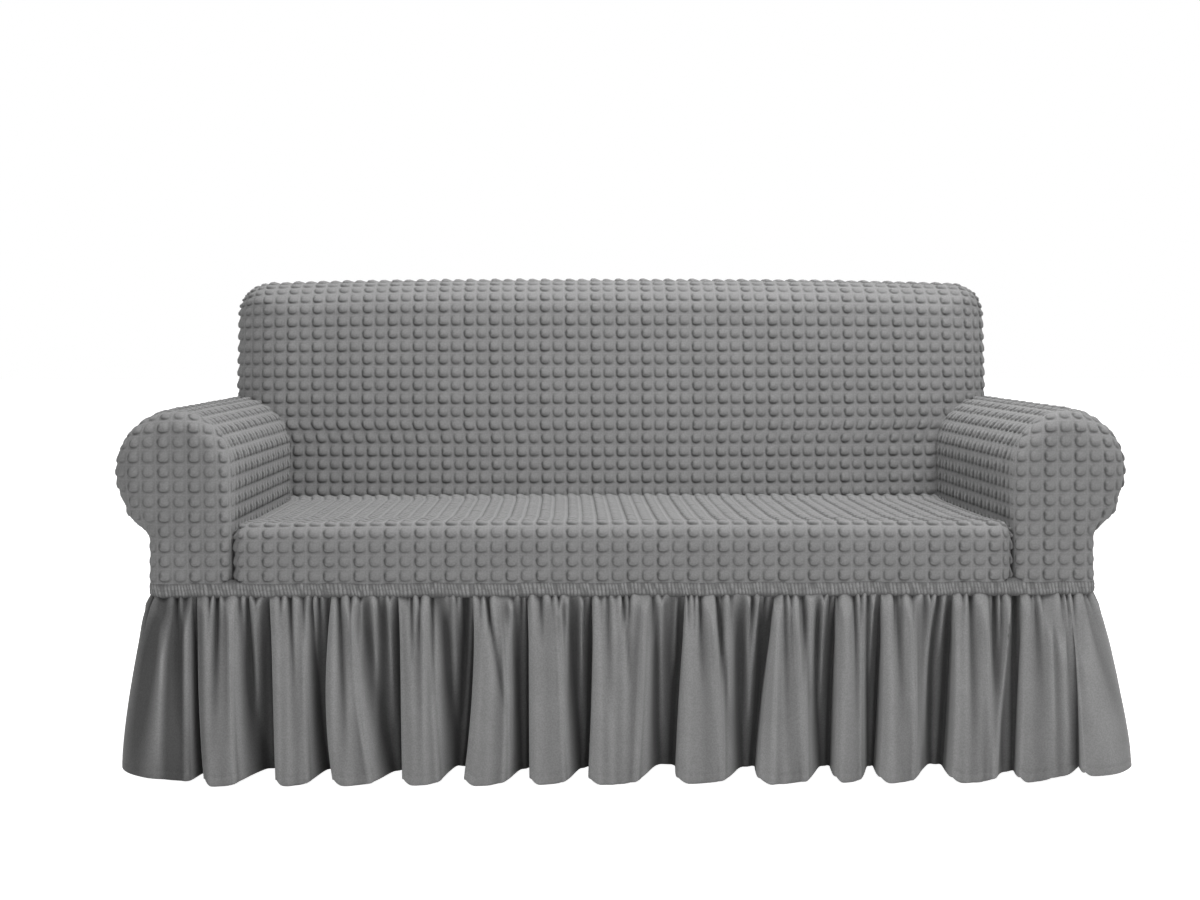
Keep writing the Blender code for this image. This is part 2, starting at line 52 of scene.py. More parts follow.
# %% [markdown]
# ## Sizes that every panel shares
# A fitted cover takes its form from the sofa inside: a seat between two arms, each a post with a round
# roll on top, and a leaning back with soft edges. Naming those sizes once keeps neighbouring panels
# in touch, because they all read the same numbers.

# %% Sizes of the body
FRONT_Y = -0.425
REAR_Y = 0.425
BODY_FOOT_Z = 0.351
TUCK_Z = 0.413

ROLL_X = 0.789
ROLL_Z = 0.5455
ROLL_R = 0.111
ROLL_END_ANGLE = math.radians(-60)
UNDER_ROLL_Z = 0.425
UNDER_ROLL_DIP = 0.012
ARM_INNER_FRONT = 0.689
ARM_INNER_REAR = 0.677
POST_X = 0.839

SEAT_Z = 0.456
SEAT_CROWN = 0.004
SEAT_EDGE_R = 0.030

BACK_FOOT_Y = 0.165
BACK_LEAN = math.tan(math.radians(9.5))
BACK_SIDE_FALL = 0.040
BACK_HALF = 0.808
BACK_TOP_Z = 0.908
BACK_TOP_DOME = 0.010
BACK_DOME_FOOT_Z = 0.66
BACK_CORNER_R = 0.068
BACK_SIDE_WIDTH = 0.115
BACK_TOP_HEIGHT = 0.068
BACK_ROUND_DEPTH = 0.095
BACK_SEAM_Y = 0.394
BACK_FLAT_HALF = BACK_HALF - BACK_SIDE_WIDTH


# %% [markdown]
# ## From a grid of points to a piece of cloth
# Cloth is a surface with two directions, along and up, so every piece here is a grid: numpy works out
# all its points at once, and one helper turns the grid into a mesh. The grid also carries how many
# cells of the knit lie along and up to each point. That pair is the UV map, so the pattern of a
# material can never slide off the bubbles.

# %% Small formulas
def smooth_step(value, low, high):
    """0 below low, 1 above high, and an S-shaped rise between."""
    share = np.clip((value - low) / (high - low), 0, 1)
    return share * share * (3 - 2 * share)


def unit(vectors):
    """The same directions with length one. A vector of no length stays as it is."""
    length = np.linalg.norm(vectors, axis=-1, keepdims=True)
    return vectors / np.where(length > 1e-9, length, 1)


def mix(start, end, share):
    """A share of the way from start to end."""
    return start + (end - start) * share


def bell(value, middle, width):
    """1 in the middle, and close to 0 two widths away from it."""
    return np.exp(-(((value - middle) / width) ** 2))


def line_places(line):
    """Distance of each of a line's points from its first."""
    return np.concatenate([[0], np.cumsum(np.linalg.norm(np.diff(line, axis=0), axis=1))])


def arc(centre, radius, start, end, steps):
    """Points of a circular arc."""
    angle = np.linspace(start, end, steps + 1)
    return np.stack([centre[0] + radius * np.cos(angle), centre[1] + radius * np.sin(angle)], 1)


# %% Grid to mesh
SMALLEST_FACE = 2e-9
WELD = 2e-5


def grid_faces(shape, ring):
    """Corner numbers of every quad of a grid. A ring's last column joins its first."""
    index = np.arange(shape[0] * shape[1]).reshape(shape)
    if ring:
        index = np.concatenate([index, index[:, :1]], 1)
    return np.stack([index[:-1, :-1], index[:-1, 1:], index[1:, 1:], index[1:, :-1]], -1)


def twice_area(place, quads):
    """Length of the cross product of each quad's diagonals, which is twice its area."""
    across = place[quads[:, 2]] - place[quads[:, 0]]
    down = place[quads[:, 3]] - place[quads[:, 1]]
    return np.linalg.norm(np.cross(across, down), axis=1)


def cloth_mesh(name, points, cells, keep=None, ring=False, turned=False, hollows=None):
    """A mesh from a (rows, columns, 3) grid, with its cell numbers as a UV map.

    cells has one column more than points on a ring, where the pattern ends. keep picks the quads
    that are cloth, turned makes them face the other way, and quads of no size are left out.
    hollows says how much painted shade each point gets, a painted highlight where it is below
    0, and becomes a second map."""
    quads = grid_faces(points.shape[:2], ring).reshape(-1, 4)
    corners = grid_faces(cells.shape[:2], False).reshape(-1, 4)
    if keep is not None:
        quads, corners = quads[keep.ravel()], corners[keep.ravel()]
    place = points.reshape(-1, 3)
    real = twice_area(place, quads) > SMALLEST_FACE
    quads, corners = quads[real], corners[real]
    if turned:
        quads, corners = quads[:, ::-1], corners[:, ::-1]
    used, renumbered = np.unique(quads, return_inverse=True)
    mesh = bpy.data.meshes.new(name)
    mesh.vertices.add(len(used))
    mesh.vertices.foreach_set("co", place[used].ravel())
    mesh.loops.add(quads.size)
    mesh.loops.foreach_set("vertex_index", renumbered.ravel().astype(np.int32))
    mesh.polygons.add(len(quads))
    mesh.polygons.foreach_set("loop_start", np.arange(0, quads.size, 4, dtype=np.int32))
    layer = mesh.uv_layers.new(name="cells")
    layer.data.foreach_set("uv", cells.reshape(-1, 2)[corners].ravel())
    if hollows is not None:
        pair = np.stack([hollows, np.zeros(hollows.shape)], -1).reshape(-1, 2)
        mesh.uv_layers.new(name="hollows").data.foreach_set("uv", pair[corners].ravel())
    mesh.update(calc_edges=True)
    model = bmesh.new()
    model.from_mesh(mesh)
    bmesh.ops.remove_doubles(model, verts=model.verts, dist=WELD)
    model.to_mesh(mesh)
    model.free()
    mesh.shade_smooth()
    return mesh


def cloth_piece(name, material, points, cells, area=None, **ways):
    """The grid's mesh as an object of the scene that rides on the frame's one body."""
    mesh = cloth_mesh(name, points, cells, **ways)
    piece = bpy.data.objects.new(name, mesh)
    bpy.context.scene.collection.objects.link(piece)
    mesh.materials.append(material)
    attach(piece, "root")
    triangles = sum(len(face.vertices) - 2 for face in mesh.polygons)
    cloth = f", {area:.3f} square metres of cloth" if area else ""
    print(f"{name}: {len(mesh.vertices)} points, {triangles} triangles{cloth}")
    return piece


def ground_area(points, keep=None):
    """Area of a grid's quads, in square metres."""
    quads = grid_faces(points.shape[:2], False).reshape(-1, 4)
    if keep is not None:
        quads = quads[keep.ravel()]
    return float(twice_area(points.reshape(-1, 3), quads).sum() / 2)


# %% [markdown]
# ## The bubbles
# The knit is a net of narrow flat strips, about 27 mm from one to the next, and in each square of the
# net a pillow of loose cloth stands up. A bump map would give its shading but a flat outline, and on
# this cover the bubbles show against the light all along the arms and the top. So they are real: each
# cell of the grid has seven lines each way, closer where the side is steep. The pillow is a rounded
# square that leans to one side and down, and the knit alternates in rows and columns between a
# squarer, stronger bubble and a rounder, flatter one.

# %% Bubble relief
# Heights are in metres. Places and widths in a bubble are shares of its cell.
BUBBLE_HEIGHT = 0.0046
BUBBLE_SINK = 0.0021
BUBBLE_LEAN = 0.0016
BUBBLE_MIDDLE = 0.545
BUBBLE_HALF = 0.375
SQUARENESS = (3.4, 2.2)
FULLNESS = (3.6, 2.0)
STEEPNESS = (0.55, 1.30)
FAR_SIDE_SLOPE = 0.36
GROOVE_DEPTH = 0.28
GROOVE_AT = 1.04
GROOVE_WIDTH = 0.12
ODD_HEIGHT = 0.82
ODD_GROOVE = 0.7
PLACE_JITTER = (0.02, 0.03)
HEIGHT_JITTER = 0.16
CELL = 0.0268
CELL_HEIGHT = 0.0262
CELL_STOPS = np.array([0.0, 0.10, 0.165, 0.23, 0.36, 0.60, 0.82])
CLOSEST_LINES = 0.02


def cell_lines(first, last, *breaks):
    """Grid lines between two places, in cells: every cell's inner stops, and any extra breaks."""
    cells = np.arange(math.floor(first), math.ceil(last))
    lines = np.concatenate([(cells[:, None] + CELL_STOPS).ravel(), [first, last], breaks])
    lines = np.unique(lines[(lines >= first) & (lines <= last)])
    close = np.diff(lines, prepend=first - 1) < CLOSEST_LINES
    fixed = np.isin(lines, [first, last, *breaks])
    crowded = (close | np.append(close[1:], False)) & ~fixed
    return lines[~crowded]


def cell_noise(i, j, seed):
    """A number from 0 to 1 for each cell that looks random and never changes."""
    wave = np.sin(np.floor(i) * 12.9898 + np.floor(j) * 78.233 + seed) * 43758.5453
    return wave - np.floor(wave)


def bubble_relief(i, j):
    """Height over the net, as a share of a full bubble.

    The distance from a cell's middle is measured as on a rounded square, |x|^n + |y|^n. The height
    is 1 in the middle and falls to 0 at the edge: steeply at the left and the foot, into a groove,
    and gently at the right and the top, where the pillow runs out into the net."""
    odd_column, odd_row = np.floor(i) % 2, np.floor(j) % 2
    across, upwards = (
        (number - np.floor(number) - BUBBLE_MIDDLE - jitter * (cell_noise(i, j, seed) - 0.5)) / BUBBLE_HALF
        for number, jitter, seed in zip((i, j), PLACE_JITTER, (1.0, 2.0))
    )
    squareness = mix(*SQUARENESS, odd_row)
    distance = (np.abs(across) ** squareness + np.abs(upwards) ** squareness) ** (1 / squareness)
    far_side = np.clip(0.5 + FAR_SIDE_SLOPE * (across + upwards), 0, 1)
    mound = np.clip(1 - distance ** mix(*FULLNESS, far_side), 0, 1) ** mix(*STEEPNESS, far_side)
    strength = mix(1, ODD_HEIGHT, odd_column) + HEIGHT_JITTER * (cell_noise(i, j, 3.0) - 0.5)
    groove = bell(distance, GROOVE_AT, GROOVE_WIDTH) * (1 - far_side) * mix(1, ODD_GROOVE, odd_column)
    return mound * strength - GROOVE_DEPTH * groove


def surface_normal(ground, facing=1):
    """Unit normals of a grid, from the cross product of its two directions."""
    return unit(np.cross(np.gradient(ground, axis=1), np.gradient(ground, axis=0))) * facing


def raise_bubbles(ground, normal, i, j, fade, lean=(-1, -1)):
    """Stands the bubbles on a ground surface, along its normal, each leaning along the cloth.

    fade is 1 in the open and 0 at a seam. The net itself lies a little inside the ground, so that
    the bubbles' tops reach just outside it."""
    relief = bubble_relief(i, j) * fade
    sway = BUBBLE_LEAN * np.clip(relief, 0, 1) ** 1.5
    points = ground + normal * (BUBBLE_HEIGHT * relief - BUBBLE_SINK)[..., None]
    points += unit(np.gradient(ground, axis=1)) * (lean[0] * sway)[..., None]
    return points + unit(np.gradient(ground, axis=0)) * (lean[1] * sway)[..., None]


# %% [markdown]
# ## The knit's material
# Grey yarn in a matte stretch knit: almost no shine, a soft bloom at grazing angles, a slight mix of
# lighter and darker yarn, and fine loops. Painted shade darkens the colour along the left and the
# foot of each bubble, and a painted highlight lightens the net's strips. Both read the same cell
# numbers as the bubbles do.

# %% Node helpers
BLOT_RANGE = (0.30, 0.70)


def shader_of(name, roughness, sheen):
    """A new material with its Principled shader set to a matte cloth."""
    material = bpy.data.materials.new(name)
    material.use_nodes = True
    shader = material.node_tree.nodes["Principled BSDF"]
    for socket, value in {
        "Roughness": roughness,
        "Specular IOR Level": 0.25,
        "Sheen Weight": sheen,
        "Sheen Roughness": 0.5,
    }.items():
        shader.inputs[socket].default_value = value
    return material, shader


def feed(tree, socket, value):
    """Plugs a socket into another, or sets its value."""
    if isinstance(value, bpy.types.NodeSocket):
        tree.links.new(value, socket)
    else:
        socket.default_value = value


def node(tree, kind, inputs, **settings):
    """The outputs of a new node, with its settings and inputs. Inputs in a row go in by order."""
    made = tree.nodes.new("ShaderNode" + kind)
    for name, value in settings.items():
        setattr(made, name, value)
    for socket, value in (inputs if isinstance(inputs, dict) else dict(enumerate(inputs))).items():
        feed(tree, made.inputs[socket], value)
    return made.outputs


def maths(tree, operation, *numbers):
    """The result of an operation on up to three numbers."""
    return node(tree, "Math", numbers, operation=operation)[0]


def ramp(tree, value, low, high, start=0.0, end=1.0):
    """A smooth change from start to end as the value goes from low to high."""
    return node(tree, "MapRange", (value, low, high, start, end), interpolation_type="SMOOTHSTEP")[0]


def map_of(tree, name):
    """A UV map of the piece's own, and its two numbers."""
    place = node(tree, "UVMap", (), uv_map=name)[0]
    return place, *node(tree, "SeparateXYZ", [place])[:2]


def noise(tree, place, scale, detail):
    """Soft random blots, from 0 to 1, that lie on the cloth."""
    return node(tree, "TexNoise", {"Vector": place, "Scale": scale, "Detail": detail})["Fac"]


def mottled(tree, blots, strength):
    """A factor close to 1 that follows random blots, lighter and darker by up to a strength."""
    return ramp(tree, blots, *BLOT_RANGE, 1 - strength, 1 + strength)


def shade(tree, shader, grey, factors):
    """A grey times every factor that changes over the cloth."""
    factor = reduce(partial(maths, tree, "MULTIPLY"), factors)
    colours = {"Factor": 1.0, 6: (grey, grey, grey, 1.0), 7: node(tree, "CombineColor", [factor] * 3)[0]}
    mixed = node(tree, "Mix", colours, data_type="RGBA", blend_type="MULTIPLY")
    feed(tree, shader.inputs["Base Color"], mixed[2])


def bump(tree, shader, height, distance):
    """Fine relief of the yarn, too small for the mesh."""
    relief = node(tree, "Bump", {"Strength": 1.0, "Distance": distance, "Height": height})
    feed(tree, shader.inputs["Normal"], relief[0])


# %% Bubble knit
BUBBLE_GREY = 0.258
# Painted shade round each bubble's left and foot, with its darkest painted spot at the left.
PAINTED_SHADE_DARKENS = 0.48
PAINTED_SHADE_AT = 0.95
PAINTED_SHADE_WIDTH = 0.32
SHADED_SIDE = (0.46, -0.42)
SHADE_SPOT_DARKENS = 0.30
SHADE_SPOT_PLACE = (-0.82, 0.15)
SHADE_SPOT_SIZE = 0.28
ODD_SHADE_LESS = 0.35
ODD_SHADE_SPOT_LESS = 0.75
# Painted highlight on the net's raised strips between the bubbles.
RIB_HIGHLIGHT = 0.08
RIB_EDGE = (0.02, 0.07)
LOOPS_PER_CELL = 16
LOOP_HEIGHT = 0.0002


def bubble_knit_material():
    """Matte grey knit, painted shade round each bubble's left and foot, painted highlight on the net.

    The painted shade lies where the rounded-square distance of the bubbles' own formula is just
    under 1. One spot of it, at the left, is the deepest, and every second column has weaker ones."""
    material, shader = shader_of("bubble_knit", roughness=0.92, sheen=0.12)
    tree = material.node_tree
    do = partial(maths, tree)

    def less(value, part):
        return do("MULTIPLY_ADD", value, -part, 1.0)

    def squared_gap(value, place):
        return do("POWER", do("SUBTRACT", value, place), 2.0)

    def to_whole(value):
        return do("ABSOLUTE", do("SUBTRACT", do("FRACT", do("ADD", value, 0.5)), 0.5))

    cells, i, j = map_of(tree, "cells")
    odd_column, odd_row = (do("FLOORED_MODULO", do("FLOOR", number), 2.0) for number in (i, j))
    squareness = do("MULTIPLY_ADD", odd_row, SQUARENESS[1] - SQUARENESS[0], SQUARENESS[0])
    sides = [do("SUBTRACT", do("FRACT", number), BUBBLE_MIDDLE) for number in (i, j)]
    sides = [do("DIVIDE", side, BUBBLE_HALF) for side in sides]
    powers = [do("POWER", do("ABSOLUTE", side), squareness) for side in sides]
    distance = do("POWER", do("ADD", *powers), do("DIVIDE", 1.0, squareness))
    # Painted shade falls on the left and lower side of each bubble, not on the right and top.
    shaded_side = do("MULTIPLY_ADD", do("ADD", *sides), SHADED_SIDE[1], SHADED_SIDE[0])
    shaded_side = do("MINIMUM", do("MAXIMUM", shaded_side, 0.0), 1.0)
    ring = ramp(tree, do("ABSOLUTE", do("SUBTRACT", distance, PAINTED_SHADE_AT)), 0.0, PAINTED_SHADE_WIDTH, 1.0, 0.0)
    # fold is painted shade: a ring just inside each bubble's edge, weaker in every second column.
    fold = do("MULTIPLY", do("MULTIPLY", ring, shaded_side), less(odd_column, ODD_SHADE_LESS))
    # The darkest spot of painted shade, at the bubble's left.
    to_shade_spot = do("ADD", *(squared_gap(side, place) for side, place in zip(sides, SHADE_SPOT_PLACE)))
    shade_spot = do("MULTIPLY", ramp(tree, to_shade_spot, 0.0, SHADE_SPOT_SIZE, 1.0, 0.0), less(odd_column, ODD_SHADE_SPOT_LESS))
    # Painted highlight on the net's strips.
    rib_highlight = ramp(tree, do("MINIMUM", to_whole(i), to_whole(j)), *RIB_EDGE, 1.0, 0.0)
    yarn = noise(tree, cells, scale=9.0, detail=3.0)
    blotch = noise(tree, cells, scale=0.35, detail=2.0)
    shade(tree, shader, BUBBLE_GREY, [
        less(fold, PAINTED_SHADE_DARKENS),
        less(shade_spot, SHADE_SPOT_DARKENS),
        less(rib_highlight, -RIB_HIGHLIGHT),
        mottled(tree, yarn, 0.08),
        mottled(tree, blotch, 0.03),
    ])
    loops = [do("SINE", do("MULTIPLY", number, 2 * math.pi * LOOPS_PER_CELL)) for number in (i, j)]
    bump(tree, shader, do("MULTIPLY_ADD", yarn, 2.0, do("MULTIPLY", *loops)), LOOP_HEIGHT)
    return material


bubble_knit = bubble_knit_material()
print("material:", bubble_knit.name)


# %% Shirred and plain knit
# Limits of the factor of painted shade and painted highlight.
PAINTED_LIGHT_LIMITS = (0.35, 1.30)
YARN_HEIGHT = 0.0004


def plain_knit_material(name, grey, grain, **cloth):
    """Matte knit without bubbles: fine speckled yarn, with painted shade and painted highlight from its
    map.
    """
    material, shader = shader_of(name, **cloth)
    tree = material.node_tree
    place = node(tree, "TexCoord", ())["Object"]
    yarn = noise(tree, place, scale=grain, detail=2.0)
    blotch = noise(tree, place, scale=14.0, detail=3.0)
    # Painted shade where the hollows map is above 0, and painted highlight where it is below.
    painted_light = maths(tree, "SUBTRACT", 1.0, map_of(tree, "hollows")[1])
    painted_light = maths(tree, "MINIMUM", maths(tree, "MAXIMUM", painted_light, PAINTED_LIGHT_LIMITS[0]), PAINTED_LIGHT_LIMITS[1])
    shade(tree, shader, grey, [
        mottled(tree, yarn, 0.10),
        mottled(tree, blotch, 0.04),
        painted_light,
    ])
    bump(tree, shader, yarn, YARN_HEIGHT)
    return material


shirred_knit = plain_knit_material("shirred_knit", 0.215, grain=420.0, roughness=0.92, sheen=0.10)
skirt_knit = plain_knit_material("skirt_knit", 0.200, grain=380.0, roughness=0.85, sheen=0.20)


# %% [markdown]
# ## The seat
# One panel covers the deck and its front: it comes up from the band, turns over the front edge and
# runs back to the crease under the back, and its sides turn down into the creases beside the arms. It
# is a profile in the middle plane, carried across, so a point needs its place along the profile and
# its column. As on sewn cloth, every panel runs on a little beyond its seam: this allowance goes under
# the next panel, so that no gap shows between them.

# %% Where the back's face and the arm's side lie
def back_face_y(x, z):
    """The front of the back: it leans, and falls away with the cube of the distance to the side."""
    return BACK_FOOT_Y + BACK_LEAN * (z - SEAT_Z) + BACK_SIDE_FALL * (np.abs(x) / BACK_HALF) ** 3


def arm_inner_x(y):
    """Inner side of the right arm: the arm thickens a little towards the back."""
    share = (y - FRONT_Y) / (BACK_FOOT_Y - FRONT_Y)
    return mix(ARM_INNER_FRONT, ARM_INNER_REAR, np.clip(share, 0, 1))


# %% Seat ground
SEAT_FLAT_CELLS = 25
SEAT_EDGE_CELLS = 2
SEAT_ROWS = 28
SEAT_SIDE_WIDTH = 0.036
SEAT_SIDE_DROP = 0.044
SEAT_FRONT_RIM = 0.022
SEAT_REAR_DROP = 0.009
SEAT_ALLOWANCE = 0.4
ALLOWANCE_SLANT = 0.4
SEAT_LEDGE = np.array([0, 0.030, -0.001])
SEAT_DEEPENS_Y = (-0.395, -0.305)
SEAT_SHALLOWS_Y = (0.030, 0.130)


def seat_line():
    """The seat's profile (y, z) from the foot of its drop to the tuck behind, with the way it faces."""
    centre_z = SEAT_Z - SEAT_EDGE_R
    front = arc((FRONT_Y + SEAT_EDGE_R, centre_z), SEAT_EDGE_R, math.pi, math.pi / 2, 16)
    rear = arc((BACK_FOOT_Y - SEAT_EDGE_R, centre_z), SEAT_EDGE_R, math.pi / 2, 0, 12)
    line = np.concatenate([[(FRONT_Y, BODY_FOOT_Z)], front, rear, [(BACK_FOOT_Y, TUCK_Z)]])
    turn = [[math.pi], np.linspace(math.pi, math.pi / 2, 17), np.linspace(math.pi / 2, 0, 13), [0.0]]
    return np.column_stack([line, np.concatenate(turn)])


def seat_ground(i, j):
    """The seat's cloth: profile by row, and by column flat to the edge, then a quarter ellipse down.

    Columns beyond that are the seam's allowance, which goes on into the gap and meets the arm."""
    line = seat_line()
    places = line_places(line[:, :2])
    y, z, turn = (np.interp(places[-1] * j / SEAT_ROWS, places, line[:, k]) for k in range(3))
    normal_y, normal_z = np.cos(turn), np.sin(turn)
    follow = np.clip((y - FRONT_Y) / (BACK_FOOT_Y - SEAT_EDGE_R - FRONT_Y), 0, 1)
    deck = smooth_step(y, *SEAT_DEEPENS_Y) * (1 - smooth_step(y, *SEAT_SHALLOWS_Y))
    width = mix(SEAT_FRONT_RIM, SEAT_SIDE_WIDTH, deck)
    drop = mix(np.where(y < sum(SEAT_DEEPENS_Y) / 2, SEAT_FRONT_RIM, SEAT_REAR_DROP), SEAT_SIDE_DROP, deck)
    theta = np.clip((np.abs(i) - SEAT_FLAT_CELLS) / SEAT_EDGE_CELLS, 0, 1) * math.pi / 2
    flat = arm_inner_x(y) - width
    beyond = np.maximum(np.abs(i) - SEAT_FLAT_CELLS - SEAT_EDGE_CELLS, 0) * CELL
    x = flat * np.minimum(np.abs(i) / SEAT_FLAT_CELLS, 1) + width * np.sin(theta) + ALLOWANCE_SLANT * beyond
    x = np.sign(i) * x
    fall = drop * (1 - np.cos(theta)) + beyond
    shift = (back_face_y(x, TUCK_Z) - BACK_FOOT_Y) * follow
    crown = SEAT_CROWN * (1 - (x / ARM_INNER_REAR) ** 2) * normal_z
    return np.stack([x, y + shift - normal_y * fall, z + crown - normal_z * fall], -1)


# %% Seat piece
SEAM_FADE = 0.18
FOOT_START = 0.1
columns = SEAT_FLAT_CELLS + SEAT_EDGE_CELLS
lines = cell_lines(-columns, columns)
lines = np.concatenate([[-columns - SEAT_ALLOWANCE], lines, [columns + SEAT_ALLOWANCE]])
i, j = np.meshgrid(lines, cell_lines(0, SEAT_ROWS))
ground = seat_ground(i, j)
edge = np.minimum(columns - np.abs(i), np.minimum(j + FOOT_START, SEAT_ROWS - j))
points = raise_bubbles(ground, surface_normal(ground), i, j, smooth_step(edge, 0, SEAM_FADE))
points = np.concatenate([points, points[-1:] + SEAT_LEDGE])
i, j = np.pad(i, ((0, 1), (0, 0)), "edge"), np.concatenate([j, j[-1:] + SEAT_LEDGE[1] / CELL])
seat_area = ground_area(ground[:, 1:-1])
seat = cloth_piece("seat_panel", bubble_knit, points, np.stack([i, j], -1), seat_area)
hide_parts("seat")


# %% [markdown]
# ## The arms
# An arm is a post with a round roll on top. Its section, seen from the front, is one line from the
# inner foot up the side, over the roll, under it and down the post. The arm's panel is that section
# carried from front to rear, with its allowances under the facing and under the rear panel. Seen from
# the front, it is closed by a facing with the same outline, whose edge turns back in a quarter round.

# %% The arm's section
UNDER_ROLL_BULGE = 0.010
BULGE_Z = 0.458
BULGE_HEIGHT = 0.020


def arm_section():
    """The right arm's outline (x, z), from the inner foot over the roll to the outer foot."""
    inner = np.linspace((ROLL_X - ROLL_R, BODY_FOOT_Z), (ROLL_X - ROLL_R, ROLL_Z), 8)
    roll = arc((ROLL_X, ROLL_Z), ROLL_R, math.pi, ROLL_END_ANGLE, 96)
    share = np.linspace(0, 1, 9)[:, None]
    corner = np.array([POST_X, roll[-1, 1] - UNDER_ROLL_DIP])
    foot = np.array([POST_X, UNDER_ROLL_Z])
    under = (1 - share) ** 2 * roll[-1] + 2 * share * (1 - share) * corner + share**2 * foot
    post = np.linspace(foot, (POST_X, BODY_FOOT_Z), 6)
    section = np.concatenate([inner[:-1], roll[:-1], under[:-1], post])
    bulge = UNDER_ROLL_BULGE * bell(section[:, 1], BULGE_Z, BULGE_HEIGHT)
    section[:, 0] += np.where(section[:, 0] > ROLL_X, bulge, 0)
    return section


def arm_section_x(x, y):
    """The inner half of the section widens a little towards the rear."""
    stretch = (ROLL_X - arm_inner_x(y)) / ROLL_R
    return np.where(x < ROLL_X, ROLL_X - (ROLL_X - x) * stretch, x)


def over_roll_z(x):
    """Height of the roll's upper surface at a distance from the middle plane."""
    return ROLL_Z + np.sqrt(np.clip(ROLL_R**2 - (np.abs(x) - ROLL_X) ** 2, 0, None))


RIM_POST = 0.024
RIM_SHOULDER = 0.036
RIM_ROLL = {"left": 0.048, "right": 0.060}
RIM_GROWS_X = (0.77, 0.86)
RIM_GROWS_Z = (0.33, 0.56)
SHOULDER_GROWS_Z = (0.45, 0.56)


def arm_rim(x, z, side):
    """Radius of the facing's turned edge: small on the post, larger over and round the roll."""
    outer = smooth_step(x, *RIM_GROWS_X) * smooth_step(z, *RIM_GROWS_Z)
    shoulder = smooth_step(z, *SHOULDER_GROWS_Z) * (1 - outer)
    return mix(RIM_POST, RIM_SHOULDER, shoulder) + (RIM_ROLL[side] - RIM_POST) * outer


# %% Arm panels
ARM_FORE_CELLS = 21.5
ARM_REAR_CELLS = 8
ARM_FIRST_COLUMN = 0.5
REAR_RIM = 0.030
ALLOWANCE_SHARES = (0.33, 0.66)
ALLOWANCE_CELLS = (0.4, 0.8)
ALLOWANCE_UNDER = 0.002


def shoulder_row():
    """The row at which the section, going up its inner side, comes to the side of the back."""
    stretch = (ROLL_X - ARM_INNER_REAR) / ROLL_R
    turn = math.pi - math.acos((BACK_FLAT_HALF - ROLL_X) / (ROLL_R * stretch))
    return (ROLL_Z - BODY_FOOT_Z + ROLL_R * turn) / CELL_HEIGHT


def arm_ground(i, j, side):
    """The right arm's panel: the section by row, and straight lines from front to rear by column.

    Its inner side stops at the back's face, and from the back's side outwards it runs to the rear."""
    section = arm_section()
    places = line_places(section) / CELL_HEIGHT
    x, z = (np.interp(j, places, section[:, k]) for k in range(2))
    held = np.minimum(j, shoulder_row())
    face_x, face_z = (np.interp(held, places, section[:, k]) for k in range(2))
    at_back = back_face_y(arm_section_x(face_x, BACK_FOOT_Y), face_z)
    front = FRONT_Y + arm_rim(x, z, side)
    fore = (i - ARM_FIRST_COLUMN) / (ARM_FORE_CELLS - ARM_FIRST_COLUMN)
    rear = (i - ARM_FORE_CELLS) / ARM_REAR_CELLS
    y = mix(front, at_back, np.clip(fore, 0, 1)) + (BACK_SEAM_Y - at_back) * np.clip(rear, 0, 1)
    return np.stack([arm_section_x(x, y), y, z], -1)


def under_seam(points, normal, rim, share, way):
    """A seam's allowance, just under the next panel's turned edge.

    It goes to the rear (way 1) or to the front (way -1) by a share of that edge's radius, and
    inwards as the quarter round does, and 2 mm more."""
    rim = np.broadcast_to(rim, points.shape[:2])[..., None]
    inwards = rim * (1 - math.sqrt(1 - share**2)) + ALLOWANCE_UNDER
    return points - normal * inwards + np.array([0, way * share, 0]) * rim


def arm_panel(side, mirror):
    """The arm's panel, worked out on the right, and mirrored for the left."""
    shoulder = shoulder_row()
    last = line_places(arm_section())[-1] / CELL_HEIGHT
    columns = cell_lines(ARM_FIRST_COLUMN, ARM_FORE_CELLS + ARM_REAR_CELLS, ARM_FORE_CELLS)
    i, j = np.meshgrid(columns, cell_lines(0, last, shoulder))
    ground = arm_ground(i, j, side)
    keep = ~((i[:-1, :-1] >= ARM_FORE_CELLS + 1) & (j[:-1, :-1] < shoulder))
    to_rear = np.where(j < shoulder, ARM_FORE_CELLS, ARM_FORE_CELLS + ARM_REAR_CELLS) - i
    edge = np.minimum(i - ARM_FIRST_COLUMN, np.minimum(to_rear, last - j))
    normal = surface_normal(ground, -1)
    points = raise_bubbles(ground, normal, i, j, smooth_step(edge, 0, SEAM_FADE))
    area = ground_area(ground, keep)
    rim = arm_rim(ground[:, :1, 0], ground[:, :1, 2], side)
    front = [under_seam(points[:, :1], normal[:, :1], rim, share, -1) for share in ALLOWANCE_SHARES[::-1]]
    rear = [under_seam(points[:, -1:], normal[:, -1:], REAR_RIM, share, 1) for share in ALLOWANCE_SHARES]
    points = np.concatenate([*front, points, *rear], 1)
    two_columns = ((0, 0), (2, 2))
    cells = np.stack([np.pad(grid, two_columns, "edge") for grid in (i, j)], -1)
    cells[:, :2, 0] -= ALLOWANCE_CELLS[::-1]
    cells[:, -2:, 0] += ALLOWANCE_CELLS
    ways = {"keep": np.pad(keep, two_columns, "edge"), "turned": side == "right"}
    piece = cloth_piece(f"arm_panel_{side}", bubble_knit, points * mirror, cells, area, **ways)
    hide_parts(f"arm_{side}")


MIRROR = {"left": np.array([-1.0, 1.0, 1.0]), "right": np.array([1.0, 1.0, 1.0])}
for side, mirror in MIRROR.items():
    arm_panel(side, mirror)


# %% [markdown]
# ## A flat panel with a turned-back edge
# The arm facings and the rear panel are flat in the middle, and their edge turns away in a quarter
# round to meet the next panel. Cloth keeps its length when it turns, so the bubbles are laid out flat
# and then bent: a point beyond the line where the turn begins goes round a quarter circle, by as much
# cloth as it lies beyond that line.

